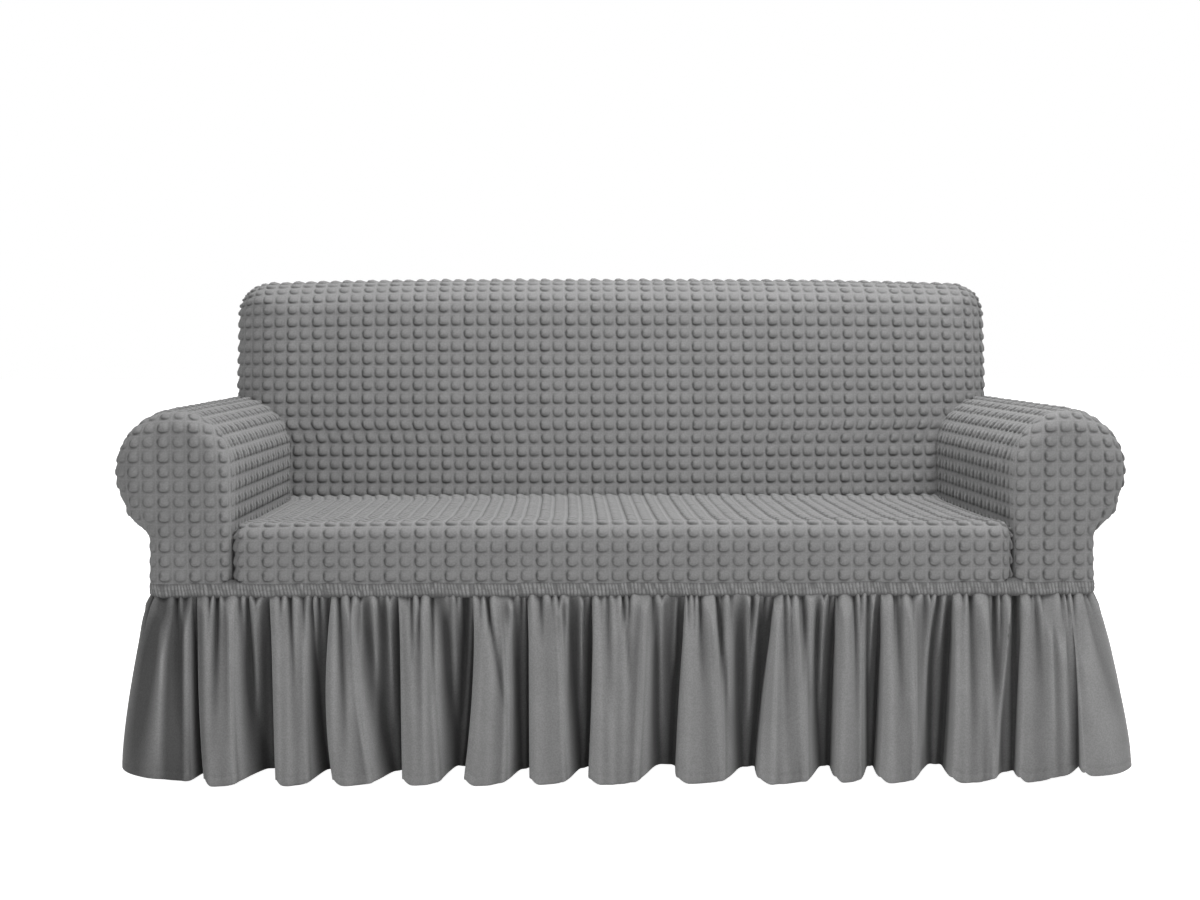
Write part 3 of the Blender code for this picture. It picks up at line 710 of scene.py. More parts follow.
# %% Bending the edge back
BLOCK = 8000


def outward(line):
    """Unit normals of a line of points, to its left as one walks along it."""
    along = unit(np.gradient(line, axis=0))
    return np.stack([-along[:, 1], along[:, 0]], 1)


def bend_back(flat, line, radius):
    """Bends flat points (a, b) back over an outline.

    The turn begins on a second line, a radius inside the outline. A point at a distance d beyond the
    nearest place on it lies radius * sin(d / radius) out from there and radius * (1 - cos) deep.
    Returns where each point comes to lie, how deep, the cloth left before the seam, and the way it
    then faces: outwards in the plane, and out of the plane."""
    normal = outward(line)
    inner = line - normal * radius[:, None]
    points = flat.reshape(-1, 2)
    nearest = np.empty((len(points), 2))
    turn_radius, beyond = np.empty((2, len(points)))
    start, step = inner[:-1], np.diff(inner, axis=0)
    for block in np.array_split(np.arange(len(points)), 1 + len(points) // BLOCK):
        offset = points[block, None] - start
        share = np.clip((offset * step).sum(-1) / np.maximum((step**2).sum(-1), 1e-12), 0, 1)
        gap = np.linalg.norm(offset - share[..., None] * step, axis=-1)
        best = gap.argmin(1)
        picked = share[np.arange(len(block)), best]
        nearest[block] = start[best] + step[best] * picked[:, None]
        turn_radius[block] = mix(radius[best], radius[best + 1], picked)
        face = mix(normal[best], normal[best + 1], picked[:, None])
        beyond[block] = ((points[block] - nearest[block]) * face).sum(1)
    away = points - nearest
    distance = np.linalg.norm(away, axis=1)
    direction = away / np.maximum(distance, 1e-9)[:, None]
    angle = np.where(beyond > 0, np.minimum(distance / turn_radius, math.pi / 2), 0)
    out = nearest + direction * (turn_radius * np.sin(angle))[:, None]
    out = np.where((beyond > 0)[:, None], out, points)
    depth = turn_radius * (1 - np.cos(angle))
    left = turn_radius * math.pi / 2 - np.where(beyond > 0, distance, -distance)
    facing = np.column_stack([direction * np.sin(angle)[:, None], np.cos(angle)])
    shape = flat.shape[:2]
    return out.reshape(*shape, 2), depth.reshape(shape), left.reshape(shape), facing.reshape(*shape, 3)


def bent_panel(i, j, size, places, line, radius, y, way, lean, edge_relief=1):
    """A flat panel at y with its edge bent back over an outline (x, z), and bubbles on it.

    places are its flat points, way is 1 when it bends to the rear and -1 to the front, and
    edge_relief is how high the bubbles still stand at the seam. Returns its points, the quads that
    have a corner before the seam, and its area."""
    out, depth, left, facing = bend_back(places, line, radius)
    ground = np.stack([out[..., 0], y + way * depth, out[..., 1]], -1)
    normal = np.stack([facing[..., 0], -way * facing[..., 2], facing[..., 1]], -1)
    fade = smooth_step(np.minimum(left / size, j + FOOT_START), 0, SEAM_FADE)
    fade *= mix(edge_relief, 1, np.clip(facing[..., 2], 0, 1))
    points = raise_bubbles(ground, normal, i, j, fade, lean)
    keep = (left[:-1, :-1] > 0) | (left[1:, :-1] > 0) | (left[:-1, 1:] > 0) | (left[1:, 1:] > 0)
    return points, keep, ground_area(ground, keep)


# %% Arm facings
FACING_COLUMNS = 10
FACING_ROWS = 13
FACING_SHIFT = {"left": 0.10, "right": 0.22}
LINE_TAIL = 0.08
EDGE_RELIEF = 0.45


def arm_facing(side, mirror):
    """The facing, worked out on the right. Its bubbles are pulled flatter where its edge turns."""
    section = arm_section()
    section[:, 0] = arm_section_x(section[:, 0], FRONT_Y)
    tail = np.array([0, LINE_TAIL])
    line = np.concatenate([[section[0] - tail], section, [section[-1] - tail]])
    i, j = np.meshgrid(cell_lines(-1, FACING_COLUMNS), cell_lines(0, FACING_ROWS))
    flat = np.stack([ARM_INNER_FRONT + (i - FACING_SHIFT[side]) * CELL, BODY_FOOT_Z + j * CELL_HEIGHT], -1)
    lean = (1, -1) if side == "left" else (-1, -1)
    outline = (line, arm_rim(line[:, 0], line[:, 1], side))
    points, keep, area = bent_panel(i, j, CELL, flat, *outline, FRONT_Y, 1, lean, EDGE_RELIEF)
    cells = np.stack([1 - i if side == "left" else i, j], -1)
    ways = {"keep": keep, "turned": side == "left"}
    piece = cloth_piece(f"arm_facing_{side}", bubble_knit, points * mirror, cells, area, **ways)
    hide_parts(f"arm_front_{side}")


for side, mirror in MIRROR.items():
    arm_facing(side, mirror)


# %% [markdown]
# ## The back
# One panel goes up the face of the back, over its top and round its sides to the seam at the rear.
# Columns and rows both carry a number for how far they have gone round the edge: 0 on the face, 1
# after the soft quarter round, 2 at the seam. In a top corner both turn at once, so the square corner
# is pressed into a quarter disc, and the rows dip and the columns lean in as they do on stretched
# cloth. Where the arms meet the back, the panel is cut to their rolls.

# %% Back ground
BACK_FACE_CELLS = 26
BACK_ROUND_CELLS = 6
BACK_WALL_CELLS = 3
BACK_ROW = 0.02736
BACK_FIRST_Z = 0.4219
BACK_TOP_ROUND_CELLS = 5
BACK_TOP_WALL_CELLS = 3
BACK_FACE_ROWS = (BACK_TOP_Z - BACK_TOP_HEIGHT - BACK_FIRST_Z) / BACK_ROW


def top_dome(x, z):
    """How far the back's top has dropped towards its ends."""
    return BACK_TOP_DOME * (np.abs(x) / BACK_HALF) ** 3 * smooth_step(z, BACK_DOME_FOOT_Z, BACK_TOP_Z)


def press_corner(x, z):
    """Presses each square top corner into a quarter disc and drops the top line towards its ends."""
    start_x, start_z = BACK_HALF - BACK_CORNER_R, BACK_TOP_Z - BACK_CORNER_R
    a = np.clip((np.abs(x) - start_x) / BACK_CORNER_R, 0, 1)
    b = np.clip((z - start_z) / BACK_CORNER_R, 0, 1)
    inside = (a > 0) & (b > 0)
    round_x = np.where(inside, start_x + BACK_CORNER_R * a * np.sqrt(1 - b * b / 2), np.abs(x))
    round_z = np.where(inside, start_z + BACK_CORNER_R * b * np.sqrt(1 - a * a / 2), z)
    return np.sign(x) * round_x, round_z - top_dome(x, z)


def ellipse_sine(share, width, depth):
    """Sine of the angle at which a share of a quarter ellipse's length has been walked."""
    angle = np.linspace(0, math.pi / 2, 200)
    line = np.stack([width * np.sin(angle), depth * (1 - np.cos(angle))], 1)
    places = line_places(line)
    return np.sin(np.interp(share * places[-1], places, angle))


def back_fall(turned, round_share):
    """Share of the way from the face to the seam: first the quarter round, then the wall."""
    in_round = np.clip(turned, 0, 1) * round_share
    return in_round + np.clip(turned - 1, 0, 1) * (1 - round_share)


def go_round(beyond, round_cells, wall_cells, width):
    """One direction over the back's edge: the sine of the round's angle, and how far it has turned."""
    sine = ellipse_sine(np.clip(beyond / round_cells, 0, 1), width, BACK_ROUND_DEPTH)
    wall = np.clip((beyond - round_cells) / wall_cells, 0, 1)
    return sine, 1 - np.sqrt(np.clip(1 - sine**2, 0, 1)) + wall


def back_ground(i, j):
    """The back's cloth before it is cut to the arms. Returns its points and how far it has turned."""
    beyond = np.abs(i) - BACK_FACE_CELLS
    sine, side_turned = go_round(beyond, BACK_ROUND_CELLS, BACK_WALL_CELLS, BACK_SIDE_WIDTH)
    x = np.sign(i) * (BACK_FLAT_HALF * np.minimum(np.abs(i) / BACK_FACE_CELLS, 1) + BACK_SIDE_WIDTH * sine)
    above = j - BACK_FACE_ROWS
    sine, top_turned = go_round(above, BACK_TOP_ROUND_CELLS, BACK_TOP_WALL_CELLS, BACK_TOP_HEIGHT)
    z = BACK_FIRST_Z + BACK_ROW * np.minimum(j, BACK_FACE_ROWS) + BACK_TOP_HEIGHT * sine
    x, z = press_corner(x, z)
    face_y = back_face_y(x, z)
    to_seam = BACK_SEAM_Y - face_y
    round_share = BACK_ROUND_DEPTH / to_seam
    fall = (back_fall(side_turned, round_share) ** 3 + back_fall(top_turned, round_share) ** 3) ** (1 / 3)
    y = face_y + to_seam * np.clip(fall, 0, 1)
    return np.stack([x, y, z], -1), side_turned, top_turned


# %% Cutting the back to the arms
def shoulder_x(z):
    """Half the width between the arms at the back's face, which follows the roll's inner curve."""
    drop = np.clip(z - ROLL_Z, 0, ROLL_R)
    stretch = (ROLL_X - ARM_INNER_REAR) / ROLL_R
    return ROLL_X - stretch * np.sqrt(ROLL_R**2 - drop**2)


def middles(grid):
    """The value in the middle of each quad."""
    return (grid[:-1, :-1] + grid[1:, 1:]) / 2


OPEN_CLOTH = 9
BACK_FOOT_START = 0.2
CORNER_FLATTENS = (0.7, 1.0)
BACK_ALLOWANCE = np.array([-0.006, 0.012, -0.0045])
BACK_ALLOWANCE_CELLS = 0.4

columns = BACK_FACE_CELLS + BACK_ROUND_CELLS + BACK_WALL_CELLS
top_row = BACK_FACE_ROWS + BACK_TOP_ROUND_CELLS + BACK_TOP_WALL_CELLS
i, j = np.meshgrid(cell_lines(-columns, columns), cell_lines(0, top_row))
cut, side_turned, top_turned = back_ground(i, j)
z_arm = over_roll_z(np.where(np.abs(cut[..., 0]) > BACK_FLAT_HALF, cut[..., 0], BACK_FLAT_HALF))
above_arm = cut[..., 2] - z_arm
between = np.abs(i) <= BACK_FACE_CELLS
room = np.where(above_arm < 0, shoulder_x(cut[..., 2]), BACK_FLAT_HALF)
cut[..., 0] *= np.where(between, np.minimum(room, BACK_FLAT_HALF) / BACK_FLAT_HALF, 1)
cut[..., 2] = np.where(between, cut[..., 2], np.maximum(cut[..., 2], z_arm))
edge_arm = np.where(above_arm < 0, BACK_FACE_CELLS - np.abs(i), OPEN_CLOTH)
edge_arm = np.where(between, edge_arm, above_arm / BACK_ROW)
corner = 1 - smooth_step(np.minimum(side_turned, top_turned), *CORNER_FLATTENS)
edge = np.minimum(np.minimum(edge_arm, columns - np.abs(i)), np.minimum(j + BACK_FOOT_START, j.max() - j))
points = raise_bubbles(cut, surface_normal(cut), i, j, smooth_step(edge, 0, SEAM_FADE) * corner)
keep = ~((middles(side_turned) > 1) & (middles(top_turned) > 1))
keep &= ~((np.abs(middles(i)) > BACK_FACE_CELLS) & (np.maximum(above_arm[1:, :-1], above_arm[1:, 1:]) <= 0))
back_area = ground_area(cut, keep)

# The allowance is one more row or column on three sides, a step back and towards the middle.
rim = ((0, 1), (1, 1))
points = np.pad(points, (*rim, (0, 0)), "edge")
in_rim = np.pad(np.zeros(i.shape, bool), rim, constant_values=True)[..., None]
inwards = np.stack([points[..., 0], np.ones(points.shape[:2]), points[..., 2]], -1)
points += np.where(in_rim, BACK_ALLOWANCE * inwards, 0)
cells = np.stack([np.pad(grid, rim, "edge") for grid in (i, j)], -1)
cells[:, [0, -1], 0] += [-BACK_ALLOWANCE_CELLS, BACK_ALLOWANCE_CELLS]
cells[-1, :, 1] += BACK_ALLOWANCE_CELLS
keep = np.pad(keep, rim, "edge")
back = cloth_piece("back_panel", bubble_knit, points, cells, back_area, keep=keep)
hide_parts("inside_back")


# %% [markdown]
# ## The rear panel
# It closes the cover behind, flat, with the arms' rolls and the back's top in its outline. It is bent
# back at its edge in the same way as the facings, only tighter.

# %% Rear panel
REAR_CELL = 0.0272
REAR_HALF_COLUMNS = 34
REAR_ROWS = 21
ROLL_CREASE_Z = 0.012
TOP_STEPS = 29
CORNER_STEPS = 16
SIDE_STEPS = 11


def rear_outline():
    """The rear's outline (x, z) from the left foot over the top to the right foot."""
    section = arm_section()
    outer = section[int(section[:, 1].argmax()) :]
    outer = outer[outer[:, 0] >= BACK_HALF]
    centre = (BACK_HALF - BACK_CORNER_R, BACK_TOP_Z - BACK_CORNER_R)
    corner = arc(centre, BACK_CORNER_R, math.pi / 2, 0, CORNER_STEPS)
    side = np.linspace(corner[-1], (BACK_HALF, outer[0, 1] + ROLL_CREASE_Z), SIDE_STEPS + 1)[1:]
    top = np.linspace((0, BACK_TOP_Z), (corner[0, 0], BACK_TOP_Z), TOP_STEPS + 1)[:-1]
    right = np.concatenate([top, corner, side, outer, [outer[-1] - (0, LINE_TAIL)]])
    right[:, 1] -= top_dome(right[:, 0], right[:, 1])
    return np.concatenate([(right * (-1, 1))[:0:-1], right])


line = rear_outline()
i, j = np.meshgrid(cell_lines(-REAR_HALF_COLUMNS, REAR_HALF_COLUMNS), cell_lines(0, REAR_ROWS))
flat = np.stack([i * REAR_CELL, BODY_FOOT_Z + j * REAR_CELL], -1)
outline = (line, np.full(len(line), REAR_RIM))
points, keep, rear_area = bent_panel(i, j, REAR_CELL, flat, *outline, REAR_Y, -1, (1, -1))
ways = {"keep": keep, "turned": True}
rear = cloth_piece("rear_panel", bubble_knit, points, np.stack([-i, j], -1), rear_area, **ways)
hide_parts("outside_back")


# %% [markdown]
# ## The shirred band
# Between the body and the skirt runs a narrow band whose elastic threads draw the cloth into fine
# puckers. It is a ring: one function gives a place on the band's line at any distance along it, round
# the four soft corners, and the band and the skirt both stand out from that line. Its foot turns in
# behind the skirt, and a ledge at its top turns in under the body's panels.

# %% The line round the body
BAND_TOP_Z = 0.3503
BAND_FOOT_Z = 0.3310
BAND_INSET = 0.0015
BAND_CORNER_R = 0.027


def ring_runs():
    """Places along the band's line where its straights and quarter rounds meet, from the front
    middle anticlockwise, with the corner centres there and the direction faced."""
    x = POST_X - BAND_INSET - BAND_CORNER_R
    y = REAR_Y - BAND_INSET - BAND_CORNER_R
    quarter = BAND_CORNER_R * math.pi / 2
    lengths = [x, quarter, 2 * y, quarter, 2 * x, quarter, 2 * y, quarter, x]
    centre_x = [0, x, x, x, x, -x, -x, -x, -x, 0]
    centre_y = [-y, -y, -y, y, y, y, y, -y, -y, -y]
    facing = np.radians([-90, -90, 0, 0, 90, 90, 180, 180, 270, 270])
    return np.concatenate([[0], np.cumsum(lengths)]), centre_x, centre_y, facing


RING_LENGTH = ring_runs()[0][-1]


def ring_point(at, reach, z):
    """Points standing out by reach from the band's line, a distance at along it, at height z."""
    places, centre_x, centre_y, facing = ring_runs()
    at = at % RING_LENGTH
    angle = np.interp(at, places, facing)
    out = BAND_CORNER_R + reach
    x = np.interp(at, places, centre_x) + out * np.cos(angle)
    y = np.interp(at, places, centre_y) + out * np.sin(angle)
    return np.stack(np.broadcast_arrays(x, y, z), -1)


def round_the_ring(at, times, phase=0.0):
    """A sine that closes on itself after a given number of turns round the ring."""
    return np.sin(2 * np.pi * times * at / RING_LENGTH + phase)


# %% Shirred band
PUCKERS = 820
PUCKER_STEPS = 5
PUCKER_DEPTH = 0.0036
BAND_ROWS = 9
THREAD_HALF = 0.16
SEAM_DEPTH = 0.006
FOOT_DROP = 0.006
TOP_RISE = 0.008
LEDGE_DROP = 0.001
LEDGE_DEPTH = 0.026
# Painted shade in the puckers' hollows, painted highlight on their tops, painted shade at the seams.
PUCKER_SHADE = (0.50, 1.3)
SEAM_SHADE = 0.6


def band_reach(at, up):
    """How far the band stands out at a distance along it: fine slanting puckers of uneven strength.

    up goes from 0 at its foot to 1 at its top. One elastic thread holds it flat at half height."""
    wander = 0.9 * round_the_ring(at, 45) + 0.7 * round_the_ring(at, 14, 1.3)
    wander += 0.5 * round_the_ring(at, 86, 2 * up)
    turn = PUCKERS * at / RING_LENGTH + 0.6 * up + wander / np.pi
    pucker = np.abs(np.cos(np.pi * turn)) ** 0.8
    number = (turn + 0.5) % PUCKERS
    upper = smooth_step(up, 0.3, 0.7)
    own = mix(cell_noise(number, 0, 3.0), cell_noise(number, 0, 5.0), upper)
    uneven = 0.30 + 0.55 * own + 0.15 * round_the_ring(at, 231, 0.7 + 2 * up)
    beside_thread = mix(0.70, 1, np.clip(np.abs(up - 0.5) / THREAD_HALF, 0, 1))
    swell = 0.35 + 0.65 * np.sin(np.pi * up) ** 0.6
    return 0.0002 + PUCKER_DEPTH * pucker * uneven * beside_thread * swell


def seam_waver(at):
    """How far the band and the skirt's top edge rise and fall together."""
    waver = 0.0009 * round_the_ring(at, 26) + 0.0007 * round_the_ring(at, 59, 1.0)
    return waver + 0.0004 * round_the_ring(at, 131)


turn, up = np.meshgrid(np.arange(PUCKERS * PUCKER_STEPS) / PUCKER_STEPS, np.linspace(0, 1, BAND_ROWS))
at = turn / PUCKERS * RING_LENGTH
points = ring_point(at, band_reach(at, up), mix(BAND_FOOT_Z, BAND_TOP_Z, up) + seam_waver(at))
foot = ring_point(at[:1], -SEAM_DEPTH, BAND_FOOT_Z - FOOT_DROP)
top = ring_point(at[:1], -SEAM_DEPTH, BAND_TOP_Z + TOP_RISE)
ledge = ring_point(at[:1], -LEDGE_DEPTH, BAND_TOP_Z - LEDGE_DROP)
points = np.concatenate([foot, points, top, ledge])
at, turn, up = (np.concatenate([grid[:1], grid, grid[-1:], grid[-1:]]) for grid in (at, turn, up))
# Painted shade in the puckers' hollows and painted highlight on their tops; painted shade at the foot, the
# top and the ledge.
hollows = PUCKER_SHADE[0] - PUCKER_SHADE[1] * band_reach(at, up) / PUCKER_DEPTH
hollows[[0, -2, -1]] = SEAM_SHADE
turn, up, hollows = (np.append(grid, grid[:, :1], 1) for grid in (turn, up, hollows))
turn[:, -1] = PUCKERS
cells = np.stack([turn, up], -1)
band = cloth_piece("shirred_band", shirred_knit, points, cells, ring=True, hollows=hollows)
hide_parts("gather_band")


# %% [markdown]
# ## The gathered skirt
# A strip much longer than the band is drawn up along its top edge, so it falls in deep folds. They
# break to the left like waves: a face falls gently to the right as far as a shoulder, a valley with a
# narrow slot at its end follows, and there the next fold's wall rises steeply. The surface has four
# layers. The main folds widen and stand further out towards the hem. Ridges and creases run down from
# the gathers and die out. The fine gathers lie just below the band, and long faint folds drift from
# the band to the hem. A simulation would fold where it liked, and here the folds have known places.

# %% Main folds
# In millimetres. left, right: the fold's edges at the hem, to the right of the middle of its side of
# the cover. left_top, right_top: the same at the band. reach: how far it stands out at the hem. dip:
# how far the valley after it goes behind the band. lift: how high the hem hangs in that valley. bow:
# how far the edges bow to the right at half height.
Fold = namedtuple("Fold", "left_top left right_top right reach dip lift bow")
FRONT_FOLDS = [
    (-850, -855, -762, -759, 56, 18, 4, 0),
    (-751, -741, -683, -679, 42, 40, 8, -4),
    (-625, -617, -564, -553, 36, 34, 8, 0),
    (-516, -517, -474, -441, 37, 30, 4, -12),
    (-399, -395, -345, -324, 35, 36, 12, 0),
    (-268, -286, -219, -209, 42, 34, 6, 6),
    (-172, -171, -119, -102, 36, 36, 6, 0),
    (-58, -67, 40, 26, 39, 36, 14, 2),
    (107, 88, 184, 179, 34, 34, 8, -2),
    (266, 231, 331, 326, 40, 32, 9, -3),
    (374, 367, 421.5, 421, 31, 28, 10, 0),
    (453, 445, 518, 514, 37, 34, 12, 3),
    (581, 571, 637, 645, 38, 4, 6, 3),
    (701.5, 690, 745, 750, 40, -32, 0, 0),
    (786, 794, 846, 860, 80, 6, 10, 0),
]
SMALLEST_TOP = 0.85


def plain_fold(at, width, reach, lean, dip, lift):
    """A fold about a middle, a little narrower at its top, which lies to the right by lean."""
    half, top = width / 2, SMALLEST_TOP * width / 2
    return Fold(at + lean - top, at - half, at + lean + top, at + half, reach, dip, lift, lean / 2)


SIDE_FOLDS = [
    plain_fold(*np.array(fold) / 1000)
    for fold in (
        (-325, 80, 52, 5, 18, 10),
        (-200, 74, 50, -6, 26, 12),
        (-75, 68, 54, 4, 22, 8),
        (45, 76, 49, -4, 28, 13),
        (172, 70, 53, 6, 22, 9),
        (300, 78, 50, -5, 14, 10),
    )
]
REAR_CORNER = 0.822
REAR_FOLD_COUNT = 12
REAR_FOLD_STEP = 0.128


def rear_folds():
    """Twelve folds across the rear between two at its corners, with sines for their variety."""
    folds = []
    for index in range(REAR_FOLD_COUNT):
        sway = math.sin(2.4 * index + 0.7)
        at = (index - (REAR_FOLD_COUNT - 1) / 2) * REAR_FOLD_STEP + 0.010 * sway
        width = 0.072 + 0.012 * math.sin(1.9 * index)
        reach = 0.044 + 0.004 * math.sin(3.1 * index + 1.0)
        dip = 0.028 + 0.007 * math.sin(2.7 * index)
        lift = 0.010 + 0.004 * math.sin(3.7 * index + 2.0)
        folds.append(plain_fold(at, width, reach, 0.006 * sway, dip, lift))
    ends = [plain_fold(side * REAR_CORNER, 0.074, 0.056, 0.0, 0.012, 0.008) for side in (-1, 1)]
    return ends[:1] + folds + ends[1:]


def all_folds():
    """Every main fold in order round the ring, with its edges measured from the front middle."""
    sides = [np.array(FRONT_FOLDS) / 1000, SIDE_FOLDS, rear_folds(), SIDE_FOLDS]
    starts = np.arange(4)[:, None, None] * RING_LENGTH / 4 * np.array([1, 1, 1, 1, 0, 0, 0, 0])
    return Fold(*np.concatenate([np.add(*pair) for pair in zip(sides, starts)]).T)


# %% Ridges and creases
# top and foot: where the line starts and ends, in millimetres to the right of the front middle. rise:
# how far it stands out, or for a crease goes in, in millimetres. end: the share of the skirt's height
# at which it has died out. width: half of its breadth, in millimetres.
FRONT_LINES = [
    (-803, -812, 11.9, 1.5, 7.5), (-786, -782, -8, 0.8, 8), (-769, -765, 8, 0.75, 9),
    (-716, -722, -10, 0.86, 9), (-693, -690, 8.5, 1.3, 6.7), (-670, -668, 7, 0.38, 6),
    (-648, -655, 16, 1.06, 14), (-588, -578, -9, 0.8, 7), (-546, -545, 10, 0.56, 7),
    (-503, -490, -9, 0.92, 8), (-487, -446, 6.8, 1.4, 9), (-464, -464, 8, 0.38, 5),
    (-441, -438, 14, 0.88, 9), (-415, -412, 13, 0.75, 8), (-375, -372, -8, 0.4, 6),
    (-355, -352, 8.5, 1.3, 7.5), (-340, -336, -8, 0.57, 6), (-303, -292, 6, 1, 10),
    (-278, -296, -13, 1.05, 9), (-245, -190, -9, 0.69, 7), (-201, -194, 15, 1, 10),
    (-147, -147, -6, 0.29, 6), (-117, -100, 8.5, 1.3, 6), (-102, -102, 10, 0.56, 6),
    (-76, -76, 13, 0.75, 8), (-30, -22, -8, 0.69, 9), (-2, 22, -8, 0.48, 5), (36, 18, 8.5, 1.3, 6),
    (63, 68, 14, 0.9, 11), (92, 88, 9, 0.5, 6), (131, 145, -6, 0.52, 7), (150, 176, 8.5, 1.3, 7.5),
    (162, 196, -10, 0.86, 7), (218, 226, 13, 0.75, 6), (235, 220, 13, 0.75, 6),
    (270, 252, 8.5, 1.3, 7.5), (283, 285, -9, 0.92, 8), (298, 318, 8.5, 1.3, 6.7),
    (315, 336, -8, 0.92, 8), (352, 352, 12, 0.69, 8), (390, 396, 4, 0.75, 10),
    (407, 412, -8, 0.69, 6), (439, 441, 10, 0.5, 7), (482, 495, -9, 0.75, 9),
    (502, 515, 6.8, 1.3, 6.7), (544, 530, 16, 0.9, 9), (565, 565, 9, 0.38, 7),
    (612, 615, -9, 0.8, 10), (635, 650, 8.5, 1.3, 7.5), (655, 655, -8, 0.57, 8),
    (682, 655, 15.3, 1.2, 6), (694, 690, -10, 0.92, 9), (728, 740, -7, 0.69, 9),
    (768, 778, 14, 1.9, 14), (748, 755, 8.5, 1.2, 7.5), (775, 780, -8, 0.69, 8),
    (800, 815, 5, 1, 10), (815, 835, -6, 0.69, 8),
]
LINE_UNITS = (0.001, 0.001, 0.001, 1, 0.001)
LINE_STRENGTH = 1.7
OTHER_LINES = 92
FRONT_HALF = 0.85


def other_lines():
    """Ridges and creases for the sides and the rear, by turns, with sines for their variety."""
    index = np.arange(OTHER_LINES)
    step = (RING_LENGTH - 2 * FRONT_HALF) / OTHER_LINES
    top = FRONT_HALF + step * (index + 0.5) + 0.008 * np.sin(2.3 * index)
    foot = top + 0.012 * np.sin(1.7 * index + 0.4)
    rise = np.where(index % 2 == 0, 0.010, -0.008) * (1 + 0.35 * np.sin(2.9 * index))
    end = 0.65 + 0.30 * np.sin(4.1 * index + 1.0)
    return top, foot, rise, end, 0.0075 + 0.0025 * np.sin(3.3 * index)


def line_relief(at, level):
    """Sum of all ridges and creases: each a rounded hump across its line, weaker further down."""
    relief = np.zeros(at.shape)
    for top, foot, rise, end, width in [*np.multiply(FRONT_LINES, LINE_UNITS), *zip(*other_lines())]:
        off = (at - top - (foot - top) * level + RING_LENGTH / 2) % RING_LENGTH - RING_LENGTH / 2
        spread = width * (0.7 + 0.9 * level)
        fade = np.clip(1 - level / end, 0, 1) ** 0.8
        relief += LINE_STRENGTH * rise * fade / (1 + (off / spread) ** 2) ** 2
    return relief


# %% Fine gathers
GATHER_COUNT = 236
GATHER_RISE = 0.013
GATHER_END = 0.30
GATHER_FREE = 0.06
WAVE_MEAN = 0.68
WAVE_TOP = 0.32


def gather_relief(at, level):
    """Small gathers under the band: rounded pleats with sharp creases between, of uneven size.

    The wave is |sin|^0.8, less its mean, so it is round above and sharp below. Each pleat dies out
    at its own height. Just under the band the creases only go in."""
    turn = np.pi * GATHER_COUNT * at / RING_LENGTH
    turn += 1.1 * round_the_ring(at, 83) + 1.2 * round_the_ring(at, 37, 1.0)
    uneven = 0.85 + 0.30 * round_the_ring(at, 53, 1.0) + 0.25 * round_the_ring(at, 121, 0.4)
    wave = np.abs(np.sin(turn)) ** 0.8 - WAVE_MEAN - WAVE_TOP * np.clip(1 - level / GATHER_FREE, 0, 1)
    fade = np.clip(1 - level / (GATHER_END * uneven), 0, 1) ** 1.5
    return GATHER_RISE * mix(1, uneven, 0.4) * wave * fade


LONG_FOLD_RISE = 0.0016


def long_folds(at, level):
    """Faint folds from band to hem that drift sideways a little: three sines added up."""
    drift = at + 0.012 * level * round_the_ring(at, 17, 0.5)
    waves = round_the_ring(drift, 143) + 0.8 * round_the_ring(drift, 197, 1.1)
    waves += 0.6 * round_the_ring(drift, 89, 2.0)
    return LONG_FOLD_RISE * waves * smooth_step(level, 0.0, 0.15) * (1 - 0.5 * level)


# %% The skirt's cross-section
SKIRT_TOP_Z = 0.331
SKIRT_SPREAD = 1.5
VALLEY_SPREAD = 4.2
TOP_FOLD_REACH = 0.005
TOP_VALLEY_REACH = -0.003
EDGE_HEIGHT = 0.90
EDGE_ROUND = 0.006
EDGE_OVERHANG = 0.005
SHOULDER_HEIGHT = 0.74
CREST_SHARES = (0.20, 0.25)
LIP = (0.05, 0.92, 0.06)
VALLEY_TILT = 0.14
SLOPE_WIDTH = (0.34, 0.64)
SLOT = (0.10, 0.95, 0.12)
SLOT_LIFT = 0.010
EDGE_LIFT = 0.009
SHOULDER_LIFT = 0.004
VALLEY_DEEPER = 0.014
DEEP_DIP = 0.02
OVERHANG_GROWS = (0.02, 0.30)
FACE_STEPS = 26
VALLEY_STEPS = 26
WALL_STEPS = 8


def face_height(share):
    """Across a fold's face: a rise to its crest near the left, then a long fall to its shoulder."""
    rising = np.clip(1 - share / CREST_SHARES[0], 0, 1) ** 2
    falling = np.clip((share - CREST_SHARES[1]) / (1 - CREST_SHARES[1]), 0, 1) ** 1.7
    lip = LIP[0] * bell(share, *LIP[1:])
    return 1 - (1 - EDGE_HEIGHT) * rising - (1 - SHOULDER_HEIGHT) * falling + lip


def valley_height(share, level):
    """Across a valley: from the shoulder down to the floor, with a narrow slot at its right end.

    The way down is short near the band and longer at the hem."""
    slope = (1 + np.cos(np.pi * np.clip(share / mix(*SLOPE_WIDTH, level**2), 0, 1))) / 2
    tilted = (SHOULDER_HEIGHT - VALLEY_TILT) * slope**0.9 + VALLEY_TILT * (1 - share)
    return tilted - SLOT[0] * bell(share, *SLOT[1:])


